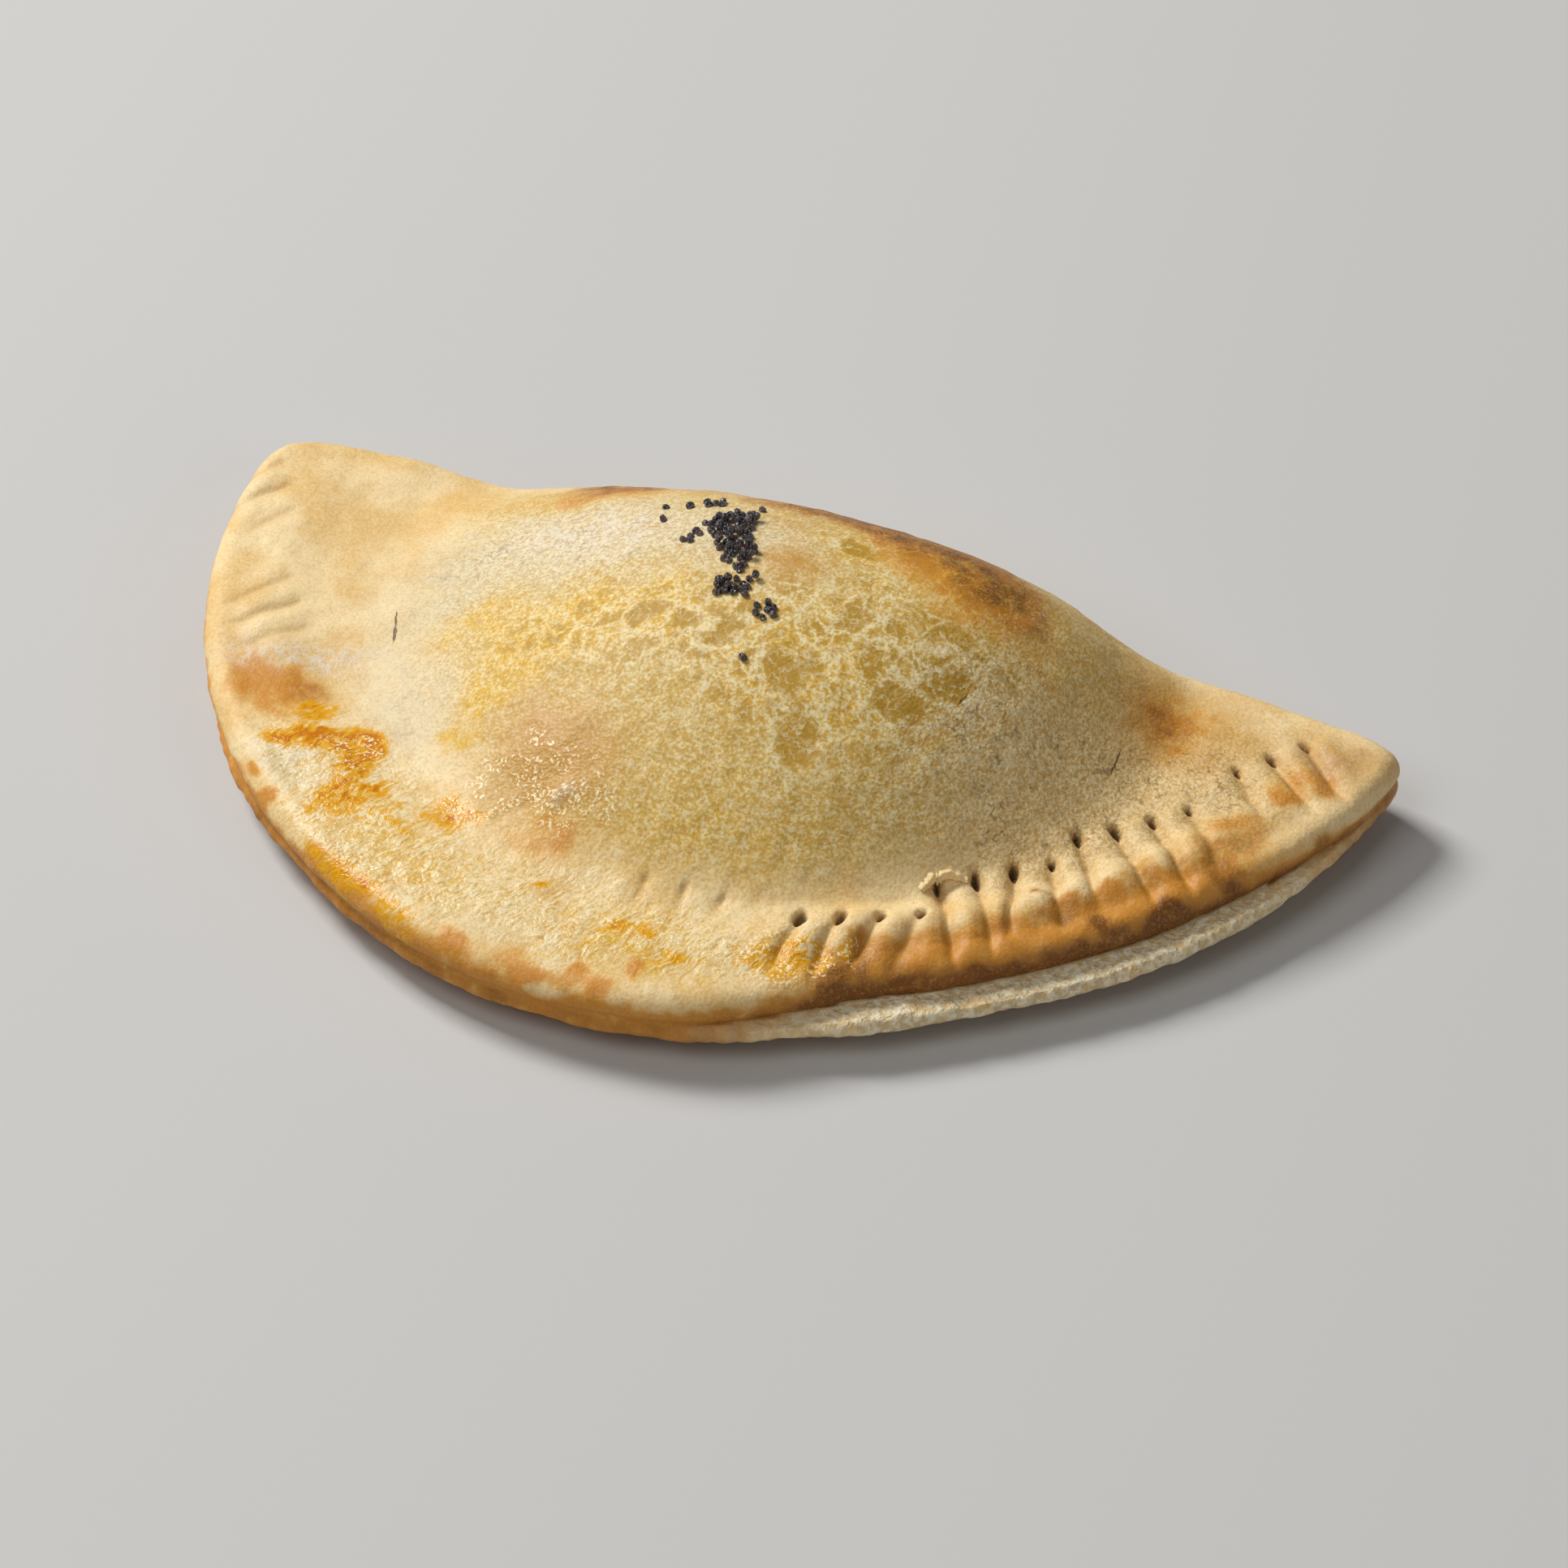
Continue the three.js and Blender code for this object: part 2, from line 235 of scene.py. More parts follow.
# %% [markdown]
# ## Floor and light
# The floor is plain and pale, so that nothing competes with the crust. The main light is a soft box
# behind the left shoulder of the dome: it rakes over the top, which shows the grain of the dough, and
# leaves the right front in shade. The sky is dim, because the pale floor already throws light back up.

# %% The floor
FLOOR_HALF = 3.0
FLOOR_DROP = 0.0001  # the floor lies just under the flat base


def new_piece(name, points, faces, finish, fields=None):
    """A smooth-shaded mesh object: points in metres, faces as index lists, and values at its vertices."""
    mesh = bpy.data.meshes.new(name)
    mesh.from_pydata(points, [], faces)
    for field, values in (fields or {}).items():
        layer = mesh.attributes.new(field, "FLOAT", "POINT")
        layer.data.foreach_set("value", values.astype(np.float32))
    mesh.shade_smooth()
    mesh.materials.append(finish.material)
    piece = bpy.data.objects.new(name, mesh)
    bpy.context.scene.collection.objects.link(piece)
    return piece


paper = Finish("pale_floor", Base_Color=colour("C9C7C4"), Roughness=0.9)
floor_corners = [(x, y, -FLOOR_DROP) for x, y in ((-1, -1), (1, -1), (1, 1), (-1, 1))]
floor_points = np.array(floor_corners) * (FLOOR_HALF, FLOOR_HALF, 1)
floor = new_piece("floor", floor_points, [(0, 1, 2, 3)], paper)
floor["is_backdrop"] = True
print("floor", 2 * FLOOR_HALF, "m wide")

# %% The lights
SKY_STRENGTH = 0.12
KEY = {"azimuth": -108, "elevation": 44, "distance": 1.8, "side": 0.6, "watts": 31.5}
FILL = {"azimuth": -25, "elevation": 55, "distance": 1.1, "side": 0.6, "watts": 2.7}
BOUNCE = {"azimuth": 70, "elevation": 26, "distance": 1.1, "side": 0.6, "watts": 1.1}


def add_softbox(name, azimuth, elevation, distance, side, watts):
    """A square lamp that faces the middle of the empanada."""
    lamp = bpy.data.lights.new(name, "AREA")
    lamp.energy = watts
    lamp.size = side
    softbox = bpy.data.objects.new(name, lamp)
    way = direction(np.radians(azimuth), np.radians(elevation))
    softbox.location = CAMERA_TARGET + distance * way
    softbox.rotation_euler = way.to_track_quat("Z", "Y").to_euler()
    bpy.context.scene.collection.objects.link(softbox)


add_softbox("key_light", **KEY)
add_softbox("fill_light", **FILL)
add_softbox("bounce_light", **BOUNCE)
sky = bpy.data.worlds.new("sky")
sky.use_nodes = True
sky.node_tree.nodes["Background"].inputs["Color"].default_value = colour("F4F6FA")
sky.node_tree.nodes["Background"].inputs["Strength"].default_value = SKY_STRENGTH
bpy.context.scene.world = sky
bpy.context.scene.view_settings.view_transform = "Standard"
print("key light", KEY["watts"], "W, fill", FILL["watts"], "W")

# %% [markdown]
# ## The plan
# Seen from above, the empanada is what an ellipse (the crimped rim) and a shallow arc (the fold) have in
# common. It could be drawn point by point, but a formula keeps it smooth and easy to change: from a pole
# under the dome, the reach in each direction is the nearer of the two curves, rounded where they meet at
# the tips. Lengths are in millimetres from here on, with x from tip to tip and v square to it, towards
# the fold.

# %% The outline
CENTRE = np.array([1.964, -34.921])  # middle of the plan's box, which is the frame's origin
RIM_HALF_LENGTH = 74.7
RIM_REACH = 74.6
FOLD_BULGE = 5.4
FOLD_RADIUS = 577
TIP_SHARPNESS_LEFT = 17
TIP_SHARPNESS_RIGHT = 32
POLE = np.array([2.9, -28.8])
UNEVEN_COSINES = {1: 0.003, 2: -0.01, 4: 0.0065}  # waves round the outline, each as a share of the reach
UNEVEN_SINES = {2: 0.037, 3: 0.0145}


def smooth_step(value, low, high):
    """0 up to low, 1 from high on, and a smooth climb between them."""
    share = np.clip((value - low) / (high - low), 0, 1)
    return share * share * (3 - 2 * share)


def ray_to_ellipse(angle, centre, half_sizes):
    """Distance from the pole along a ray to an ellipse: the far root of the quadratic for the crossing."""
    start = (POLE - centre) / half_sizes
    step_x = np.cos(angle) / half_sizes[0]
    step_v = np.sin(angle) / half_sizes[1]
    half = start[0] * step_x + start[1] * step_v
    square = step_x**2 + step_v**2
    return (-half + np.sqrt(half**2 - square * (start @ start - 1))) / square


def plan(angle):
    """Reach of the plan at an angle, and the share of it that belongs to the fold.
    The nearer of rim and fold comes from a sum of high powers, which rounds the corner at each tip."""
    rim = ray_to_ellipse(angle, np.zeros(2), np.array([RIM_HALF_LENGTH, RIM_REACH]))
    fold_middle = np.array([0, FOLD_BULGE - FOLD_RADIUS])
    fold = ray_to_ellipse(angle, fold_middle, np.full(2, FOLD_RADIUS))
    right = (1 + np.cos(angle)) / 2
    sharpness = TIP_SHARPNESS_LEFT + (TIP_SHARPNESS_RIGHT - TIP_SHARPNESS_LEFT) * right
    rim_weight = (fold / rim) ** sharpness
    uneven = sum(share * np.cos(waves * angle) for waves, share in UNEVEN_COSINES.items())
    uneven = uneven + sum(share * np.sin(waves * angle) for waves, share in UNEVEN_SINES.items())
    reach = fold * (1 + rim_weight) ** (-1 / sharpness) * (1 + uneven)
    return reach, 1 / (1 + rim_weight)


def from_pole(distance, angle):
    """The x and v of a place at a distance and an angle from the pole."""
    return POLE[0] + distance * np.cos(angle), POLE[1] + distance * np.sin(angle)


STEPS_PER_DEGREE = 20
outline_angle = np.linspace(-np.pi, np.pi, 360 * STEPS_PER_DEGREE + 1)
outline_reach, outline_fold = plan(outline_angle)
outline_x, outline_v = from_pole(outline_reach, outline_angle)
print("plan of", np.ptp(outline_x).round(1), "by", np.ptp(outline_v).round(1), "mm")

# %% [markdown]
# ## The dome
# The filling lifts the upper sheet into a dome. Along its length a ridge rises and falls, and across it a
# parabola runs from the crest down to the line of fork holes, while a plumper curve runs down the back to
# the fold.

# %% Heights
FLANGE_HEIGHT = 9.1
DOME_RISE = 18.7
PEAK_X = 4.7
LEFT_END = -51.4
RIGHT_END = 51.6
TOE_HALF_LENGTH = 63.5
TOE_REACH = 57.7
CREST_OFFSET = 20.0
TOE_SOFT_LEFT = 0.24  # how gently the dome runs out into the flange, as a share of its rise
TOE_SOFT_RIGHT = 0.12
TOE_CHANGE = (15, 45)  # the x between which the toe's softness changes
RIDGE_LEFT = (1.9, 1.7)  # powers that shape the ridge's fall to its ends
RIDGE_RIGHT = (3.6, 2)
PLAN_TAPER = 0.8
BACK_PLUMPNESS = (2.2, 0.6)
TIP_RAISE = 1.1
TIP_CURL = 6


def ridge(x):
    """Height of the ridge at x as a share of the dome's rise: 1 minus a power of the way to each end,
    raised to another power."""
    left = np.clip((x - PEAK_X) / (LEFT_END - PEAK_X), 0, 1)
    right = np.clip((x - PEAK_X) / (RIGHT_END - PEAK_X), 0, 1)
    left_side = (1 - left ** RIDGE_LEFT[0]) ** RIDGE_LEFT[1]
    right_side = (1 - right ** RIDGE_RIGHT[0]) ** RIDGE_RIGHT[1]
    return np.where(x < PEAK_X, left_side, right_side)


def dome(x, v):
    """Height above the flange: the ridge times a parabola to the front or a plump curve to the back.
    The parabola eases into the flange as half the sum of itself and its hypotenuse with the softness."""
    width = np.maximum(1 - (x / TOE_HALF_LENGTH) ** 2, 1e-4) ** PLAN_TAPER
    fold = FOLD_BULGE - x**2 / (2 * FOLD_RADIUS)
    crest = fold - CREST_OFFSET * width
    fall = 1 - np.maximum((crest - v) / (crest + TOE_REACH * width), 0) ** 2
    softness = TOE_SOFT_LEFT + (TOE_SOFT_RIGHT - TOE_SOFT_LEFT) * smooth_step(x, *TOE_CHANGE)
    front = (fall + np.hypot(fall, softness)) / (1 + np.hypot(1, softness))
    back = np.clip((v - crest) / (fold - crest), 0, 1)
    behind = (1 - back ** BACK_PLUMPNESS[0]) ** BACK_PLUMPNESS[1]
    return DOME_RISE * ridge(x) * np.where(v < crest, front, behind)


def tip_raise(x):
    """The tips curl up a little: a high power of the way out to them."""
    return TIP_RAISE * (np.abs(x) / RIM_HALF_LENGTH) ** TIP_CURL


crest_rise = dome(PEAK_X, np.linspace(POLE[1], 0, 100)).max()
print("crest at", round(FLANGE_HEIGHT + float(crest_rise), 1), "mm")

# %% [markdown]
# ## A grid that fits a half-moon
# A round grid crowds its points at the pole and starves the rim, where the fork marks are. So the top is
# a square grid, bent until its four sides lie along the outline: one side is the fold, and the other
# three share the rim. Every square ring of the grid becomes a smaller half-moon, and the two corners of
# the fold land on the two tips.

# %% The top's grid
HALF = 116  # rings of squares between the pole and the rim
SIDE = 2 * HALF
AROUND = 4 * SIDE
RIM_CROWDING = 0.35  # rings lie this much closer together near the rim
EVEN_STEPS = 6001  # fine steps that measure the outline's length

tips = outline_angle[:-1][np.diff(np.sign(outline_fold - 0.5)) != 0]
RIGHT_TIP, LEFT_TIP = tips.min(), tips.max()


def even_angles(share, start, stop):
    """Angles that go from start to stop in even lengths of outline, as the share goes from 0 to 1."""
    angle = np.linspace(start, stop, EVEN_STEPS)
    x, v = from_pole(plan(angle)[0], angle)
    length = np.hypot(np.diff(x), np.diff(v)).cumsum()
    return np.interp(share, np.insert(length, 0, 0) / length[-1], angle)


def angle_around(around):
    """Angle round the pole for a place on the square's edge, which is 4 long: 1 to 2 is the fold."""
    on_fold = even_angles(around - 1, RIGHT_TIP, LEFT_TIP)
    on_rim = even_angles((around - 2) % 4 / 3, LEFT_TIP, RIGHT_TIP + 2 * np.pi)
    return np.where((around >= 1) & (around <= 2), on_fold, on_rim)


def square_place(column, row):
    """Ring of a grid point, and its place round that ring's edge from 0 to 4."""
    ring = np.maximum(np.abs(column), np.abs(row))
    edge = 2 * np.maximum(ring, 1)
    sides = [(column == ring) & (row > -ring), row == ring, column == -ring]
    places = [(row + ring) / edge, 1 + (ring - column) / edge, 2 + (ring - row) / edge]
    return ring, np.select(sides, places, 3 + (column + ring) / edge) % 4


grid_steps = np.arange(-HALF, HALF + 1)
grid_column, grid_row = (axis.ravel() for axis in np.meshgrid(grid_steps, grid_steps, indexing="ij"))
grid_ring, grid_around = square_place(grid_column, grid_row)
grid_angle = angle_around(grid_around)
print(len(grid_ring), "points on top, tips at", np.degrees([RIGHT_TIP, LEFT_TIP]).round(1), "degrees")

# %% [markdown]
# ## The rim
# From the front round to the right tip the upper sheet stops short of the lower one, and the seam gapes.
# The rim is a profile that is carried round the outline: it rolls over the upper sheet's edge, goes in to
# the seam, comes out over the ledge of the lower sheet, rolls under it and runs in to the flat base.
# Where the seam is shut the ledge has no width, so the profile is first drawn finely and then cut into
# rows of even length.

# %% The rim's profile
EDGE_HEIGHT = 5.2
EDGE_ROUND = 4.3
EDGE_BLUFF = 0.6
RIM_LIFT = 2.5
SEAM_STEP = 3.6
SEAM_GROOVE = 0.8
SEAM_GROOVE_TURN = 0.25
SEAM_OPENS = (-78, -40)  # degrees round the pole
SEAM_CLOSES = (-5, 22)
FLANGE_WIDTH = 16
PILLOW_LEFT = 0.4
PILLOW_RIGHT = 1.2
PILLOW_PLUMPNESS = 1.5
BASE_INSET_RIM = 15
BASE_INSET_FOLD = 8
ROLL_STEPS = 90  # fine points in each stage of the profile
LEDGE_STEPS = 30
SLOPE_STEPS = 40


def seam_gape(angle):
    """1 where the seam gapes, 0 where it is shut: it opens at the front and closes at the right tip."""
    degrees = np.degrees((angle + np.pi) % (2 * np.pi) - np.pi)
    return smooth_step(degrees, *SEAM_OPENS) * (1 - smooth_step(degrees, *SEAM_CLOSES))


def rim_values(angle):
    """Reach, fold share, seam step and pillow height of the rim at an angle."""
    reach, fold_share = plan(angle)
    gape = (1 - fold_share) * seam_gape(angle)
    pillow = PILLOW_LEFT * (1 - fold_share) + (PILLOW_RIGHT - PILLOW_LEFT) * gape
    return reach, fold_share, SEAM_STEP * gape, pillow


def upper_sheet(angle, ring_share):
    """Top of the crust: rings from the pole to the start of the rim's roll, on the dome and the flange."""
    reach, _, step, pillow = rim_values(angle)
    share = ring_share * (1 + RIM_CROWDING * (1 - ring_share))
    inward = reach - (reach - EDGE_ROUND) * share
    across = np.clip((inward - EDGE_ROUND) / (FLANGE_WIDTH - EDGE_ROUND), 0, 1)
    height = FLANGE_HEIGHT + pillow * np.sin(np.pi * across) ** PILLOW_PLUMPNESS
    inward = inward + step * (1 - across)
    x, v = from_pole(reach - inward, angle)
    return np.stack([x, v, height + dome(x, v) + tip_raise(x)], axis=-1)


def rim_profile(angle):
    """Fine points of the profile at each angle, and the number of the stage that each belongs to:
    0 is a roll, 1 the ledge, 2 a roll under and 3 the slope to the base.
    The rolls are quarter turns whose cosine is raised to a power below 1, which makes them bluffer."""
    angle = angle[:, None]
    reach, fold_share, step, _ = rim_values(angle)
    rim_share = 1 - fold_share
    rim_x, _ = from_pole(reach, angle)
    edge = EDGE_HEIGHT + (FLANGE_HEIGHT - EDGE_HEIGHT) * fold_share * ridge(rim_x)
    lift = RIM_LIFT * rim_share
    inset = BASE_INSET_FOLD + (BASE_INSET_RIM - BASE_INSET_FOLD) * rim_share
    over = np.linspace(np.pi / 2, 0, ROLL_STEPS)[None]
    ledge = np.linspace(1, 0, LEDGE_STEPS)[None]
    below = np.linspace(0, -np.pi / 2, ROLL_STEPS)[None]
    under = np.linspace(0, 1, SLOPE_STEPS)[None]
    groove = SEAM_GROOVE * rim_share

    def roll(turn):
        """How far in a quarter turn lies, with the seam's groove where it is steep."""
        in_groove = groove * np.exp(-((turn / SEAM_GROOVE_TURN) ** 2))
        return EDGE_ROUND * (1 - np.cos(turn) ** EDGE_BLUFF) + in_groove

    inward = [
        roll(over) + step,
        step * ledge + groove,
        roll(below),
        EDGE_ROUND + (inset - EDGE_ROUND) * under,
    ]
    height = [
        edge + np.sin(over) * (FLANGE_HEIGHT - edge),
        edge + 0 * ledge,
        edge + np.sin(below) * (edge - lift),
        lift * (1 - under) ** 2,
    ]
    stage = [np.full_like(rows, number) for number, rows in enumerate(inward)]
    inward, height, stage = (np.concatenate(rows, axis=1) for rows in (inward, height, stage))
    x, v = from_pole(reach - inward, angle)
    raised = np.where(stage == 0, dome(x, v), 0) + tip_raise(x) * smooth_step(height, 0.5, EDGE_HEIGHT)
    return np.stack([x, v, height + raised], axis=-1), stage


print("seam gapes over", (seam_gape(outline_angle) > 0.5).sum() // STEPS_PER_DEGREE, "degrees")

# %% Cut the profile into rows
RIM_ROWS = 43
UNDER_WEIGHT = 0.35  # rows are wider apart underneath
BASE_ROWS = 3

rim_angle = angle_around(np.arange(AROUND) / SIDE)
fine_points, fine_stage = rim_profile(rim_angle)
spacing = np.linalg.norm(np.diff(fine_points, axis=1), axis=-1)
spacing = spacing * np.where(fine_stage[:, 1:] == 3, UNDER_WEIGHT, 1)
way = np.concatenate([np.zeros((AROUND, 1)), spacing.cumsum(axis=1)], axis=1)
way = way / way[:, -1:] + 2 * np.arange(AROUND)[:, None]
wanted = np.linspace(0, 1, RIM_ROWS + 1)[None, 1:] + 2 * np.arange(AROUND)[:, None]


def cut_rows(values):
    """Values of the fine profile at rows of even length, for all angles in one reading."""
    return np.interp(wanted.ravel(), way.ravel(), values.ravel()).reshape(wanted.shape)


rim_points = np.stack([cut_rows(fine_points[..., axis]) for axis in range(3)], axis=-1)
rim_stage = cut_rows(fine_stage)
base_share = np.arange(1, BASE_ROWS + 1)[None, :, None] / (BASE_ROWS + 1)
base_points = rim_points[:, -1:] + base_share * (np.array([*POLE, 0]) - rim_points[:, -1:])
print(AROUND, "columns and", RIM_ROWS + BASE_ROWS, "rows in the rim and the base")

# %% Join top, rim and base
top_points = upper_sheet(grid_angle, grid_ring / HALF)
skirt_points = np.concatenate([rim_points, base_points], axis=1)
SKIRT_ROWS = RIM_ROWS + BASE_ROWS
smooth_crust = np.concatenate([top_points, skirt_points.reshape(-1, 3), [[*POLE, 0]]])

top_index = np.arange(len(top_points)).reshape(SIDE + 1, SIDE + 1)
skirt_index = len(top_points) + np.arange(AROUND * SKIRT_ROWS).reshape(AROUND, SKIRT_ROWS)
top_sides = [top_index[-1, :-1], top_index[:0:-1, -1], top_index[0, :0:-1], top_index[:-1, 0]]
rim_edge = np.concatenate(top_sides)


def grid_quads(index):
    """Quads of a grid of vertex numbers, each with its corners in order."""
    corners = [index[:-1, :-1], index[1:, :-1], index[1:, 1:], index[:-1, 1:]]
    return np.stack(corners, axis=-1).reshape(-1, 4)


top_quads = grid_quads(top_index)
middle_column = grid_column[top_quads].mean(axis=1)
middle_row = grid_row[top_quads].mean(axis=1)
crossed = middle_column * middle_row < 0
top_quads[crossed] = np.roll(top_quads[crossed], 1, axis=1)
columns = np.concatenate([rim_edge[:, None], skirt_index], axis=1)
columns = np.concatenate([columns, columns[:1]])
skirt_quads = grid_quads(columns)[:, ::-1]
last = columns[:, -1]
base_fan = np.stack([last[1:], last[:-1], np.full(AROUND, len(smooth_crust) - 1)], axis=1)
crust_quads = np.concatenate([top_quads, skirt_quads])
print(2 * len(crust_quads) + len(base_fan), "triangles in the crust")

# %% [markdown]
# ## Relief
# Real dough is never smooth. Its relief is a depth at each point, in millimetres, and the point moves
# that far along the surface's own direction. Soft noise makes the lumps of shaping by hand and the grain
# of the dough: random numbers at the corners of a grid of cells, blended inside each cell.


# %% Noise
def corner_number(corner, seed):
    """A number from 0 to 1 for each whole-number corner: what is left after the point of a large sine."""
    wave = np.sin(corner @ np.array([12.9898, 78.233, 37.719]) + 4.137 * seed) * 43758.5453
    return wave - np.floor(wave)


def lumps(points, size, seed):
    """Noise from -1 to 1 with lumps of the given size: the corners' numbers, blended by a curve that
    starts and ends level."""
    cell = points / size
    corner = np.floor(cell)
    part = cell - corner
    blend = part**3 * (part * (6 * part - 15) + 10)
    total = np.zeros(len(points))
    for far in itertools.product((0, 1), repeat=3):
        weight = np.where(np.array(far), blend, 1 - blend).prod(axis=1)
        total += weight * corner_number(corner + far, seed)
    return 2 * total - 1


def rough(*layers):
    """The sum of layers of lumps over the crust, each given by its height, its size and its seed."""
    return sum(height * lumps(smooth_crust, size, seed) for height, size, seed in layers)


def unit(vectors):
    """Vectors brought to a length of 1."""
    return vectors / np.maximum(np.linalg.norm(vectors, axis=-1, keepdims=True), 1e-9)


def outward(points, quads):
    """Unit vectors out of the surface at each point: the mean of the faces that meet there."""
    first, second, third, fourth = (points[quads[:, corner]] for corner in range(4))
    total = np.zeros_like(points)
    for corner in range(4):
        np.add.at(total, quads[:, corner], np.cross(third - first, fourth - second))
    return unit(total)


crust_out = outward(smooth_crust, crust_quads)
crust_x, crust_v, crust_z = smooth_crust.T
print("noise over", len(smooth_crust), "points")

# %% Sheets
skirt_stage = np.concatenate([rim_stage, np.full((AROUND, BASE_ROWS), 3.0)], axis=1).ravel()
crust_stage = np.concatenate([np.zeros(len(top_points)), skirt_stage, [3.0]])
crust_around = np.concatenate([grid_angle, np.repeat(rim_angle, SKIRT_ROWS), [0]])
crust_fold = plan(crust_around)[1]
upper = 1 - smooth_step(crust_stage, 0.2, 0.9)
under = smooth_step(crust_stage, 2.6, 3.0)
lower = (1 - upper) * (1 - under)
crumbly = lower * (1 - crust_fold)
print("upper", int(upper.sum()), "lower", int(lower.sum()), "underside", int(under.sum()), "points")

# %% [markdown]
# ## Fork marks
# The rim was shut with a fork. Each tine left a soft groove that runs outwards, and on the right its tip
# also broke the skin and left a pit. A groove is a bell curve across its line, with a swollen shoulder on
# both sides, because the dough that is pressed away has to go somewhere.

# %% Tines
TINE_PITCH = 4.65
SHOULDER_PLACE = 2.2
SHOULDER_WIDTH = 1.3
SHOULDER_SHARE = 0.4
PIT_HALF_LENGTH = 0.8
PIT_HALF_WIDTH = 0.5
TURN_SPREAD = 8  # degrees by which single tines differ
LENGTH_SPREAD = 0.15  # shares by which their marks differ
PIT_SPREAD = 0.25
DEPTH_SPREAD = 0.35
GROOVE_START = (-1.2, 0.6)  # over these lengths a groove sets in at the tine's tip
GROOVE_END = (-4, 1.5)  # and runs out round its far end
# Along each groove a darker line is painted in: painted shade of the crease.
GROOVE_SHADE = 0.9  # half a width of the darker line along a groove
PIT_SHADE = 0.85

Press = namedtuple("Press", "x v line out tines length groove wide pit")
FORK_PRESSES = [
    Press(x=62.4, v=-6.6, line=51, out=-44, tines=3, length=11, groove=0.7, wide=0.6, pit=1.6),
    Press(x=51.8, v=-23.6, line=44, out=-48, tines=4, length=12, groove=0.75, wide=0.6, pit=1.6),
    Press(x=40.5, v=-38.2, line=43, out=-63, tines=4, length=12, groove=0.7, wide=0.6, pit=1.6),
    Press(x=29.4, v=-51.6, line=28, out=-89, tines=4, length=10, groove=0.55, wide=0.6, pit=1.4),
    Press(x=9.4, v=-56.8, line=6, out=-95, tines=3, length=3.5, groove=0.2, wide=0.6, pit=0.25),
    Press(x=-55.3, v=-29.3, line=-49, out=-130, tines=3, length=10, groove=0.36, wide=0.45, pit=0),
    Press(x=-66.7, v=-10.6, line=-55, out=-124, tines=3, length=7.5, groove=0.3, wide=0.45, pit=0),
]


def along_and_across(x, v, middle, turn):
    """Distances of a point along and across a line through a middle that is turned by some degrees."""
    turn = np.radians(turn)
    away_x, away_v = x - middle[0], v - middle[1]
    return away_x * np.cos(turn) + away_v * np.sin(turn), away_v * np.cos(turn) - away_x * np.sin(turn)


def chance(number, seed):
    """A number from -1 to 1 that is always the same for the same whole numbers."""
    return float(2 * corner_number(np.array([number, seed, 0]), 0) - 1)


wobble = rough((0.35, 3.5, 21))
ragged_hole = rough((0.3, 1.2, 22))
fork_depth = np.zeros(len(smooth_crust))
pit_mask = np.zeros(len(smooth_crust))
groove_shade_line = np.zeros(len(smooth_crust))
for number, press in enumerate(FORK_PRESSES):
    row_way = np.array([np.cos(np.radians(press.line)), np.sin(np.radians(press.line))])
    for tine in range(press.tines):
        key = 10 * number + tine
        tip = np.array([press.x, press.v]) + (tine - (press.tines - 1) / 2) * TINE_PITCH * row_way
        along, across = along_and_across(crust_x, crust_v, tip, press.out + TURN_SPREAD * chance(key, 1))
        length = press.length * (1 + LENGTH_SPREAD * chance(key, 2))
        side = np.abs(across + wobble * smooth_step(along, 0, 3))
        sunk = press.groove * (1 + DEPTH_SPREAD * chance(key, 4))
        pressed = smooth_step(along, *GROOVE_START) * (1 - smooth_step(along - length, *GROOVE_END))
        groove = np.exp(-((side / press.wide) ** 2))
        shoulder = np.exp(-(((side - SHOULDER_PLACE) / SHOULDER_WIDTH) ** 2))
        fork_depth -= sunk * pressed * (groove - SHOULDER_SHARE * shoulder)
        hole = np.hypot(along / PIT_HALF_LENGTH, across / PIT_HALF_WIDTH)
        hole = hole / (1 + PIT_SPREAD * chance(key, 3)) * (1 + ragged_hole)
        fork_depth -= press.pit * np.exp(-(hole**4))
        pit_mask += min(press.pit, 1) * np.exp(-((PIT_SHADE * hole) ** 4))
        groove_shade_line += pressed * np.exp(-((side / GROOVE_SHADE) ** 2))
fork_depth *= upper
print("fork marks from", fork_depth.min().round(2), "to", fork_depth.max().round(2), "mm")

# %% [markdown]
# ## Dents, swellings and crumbs
# A few larger forms were made by hand and by steam: a hollow beside the left shoulder, a padded left
# front, a small blister, and the torn hollow beside a fork hole. They are bell curves at named places.
# The lower sheet stuck out of the seam and dried, so it is crumbly: its noise is finer and stronger.

# %% Hand-made forms
# A form has its middle, half its length and half its width in mm, a turn in degrees, and a strength.
Form = namedtuple("Form", "x v long wide turn strength", defaults=[1])
SWELLINGS = [
    Form(-46, -42, 9, 6, -35, -0.7),  # hollow between the left front and the dome
    Form(-41, -57, 8, 7, -45, 0.5),  # padded left front
    Form(-57, -35, 8, 3, -40, 0.4),  # floury fold of skin below the left fork marks
    Form(32.8, -10.4, 1.3, 1.0, 20, 0.55),  # blister
    Form(-9.2, -51.2, 1.7, 1.1, 60, 0.35),  # pale lump at the front
    Form(36.2, -42.7, 2.3, 0.9, 42, -0.8),  # torn hollow
    Form(47.3, -39.6, 1.2, 0.9, 60, 0.25),  # toasted bead on a ridge
    Form(57.5, -14.5, 4.5, 2.6, 45, 0.5),  # pad between two presses
    Form(-41, 1, 7, 5, 0, -1.2),  # saddle between the left flange and the dome
    Form(-55, -2, 5, 4, 0, 0.6),  # back of the left flange
]


def bell(x, v, form):
    """The form's strength in the middle of an ellipse, falling away as a bell curve."""
    along, across = along_and_across(x, v, (form.x, form.v), form.turn)
    return form.strength * np.exp(-((along / form.long) ** 2) - (across / form.wide) ** 2)


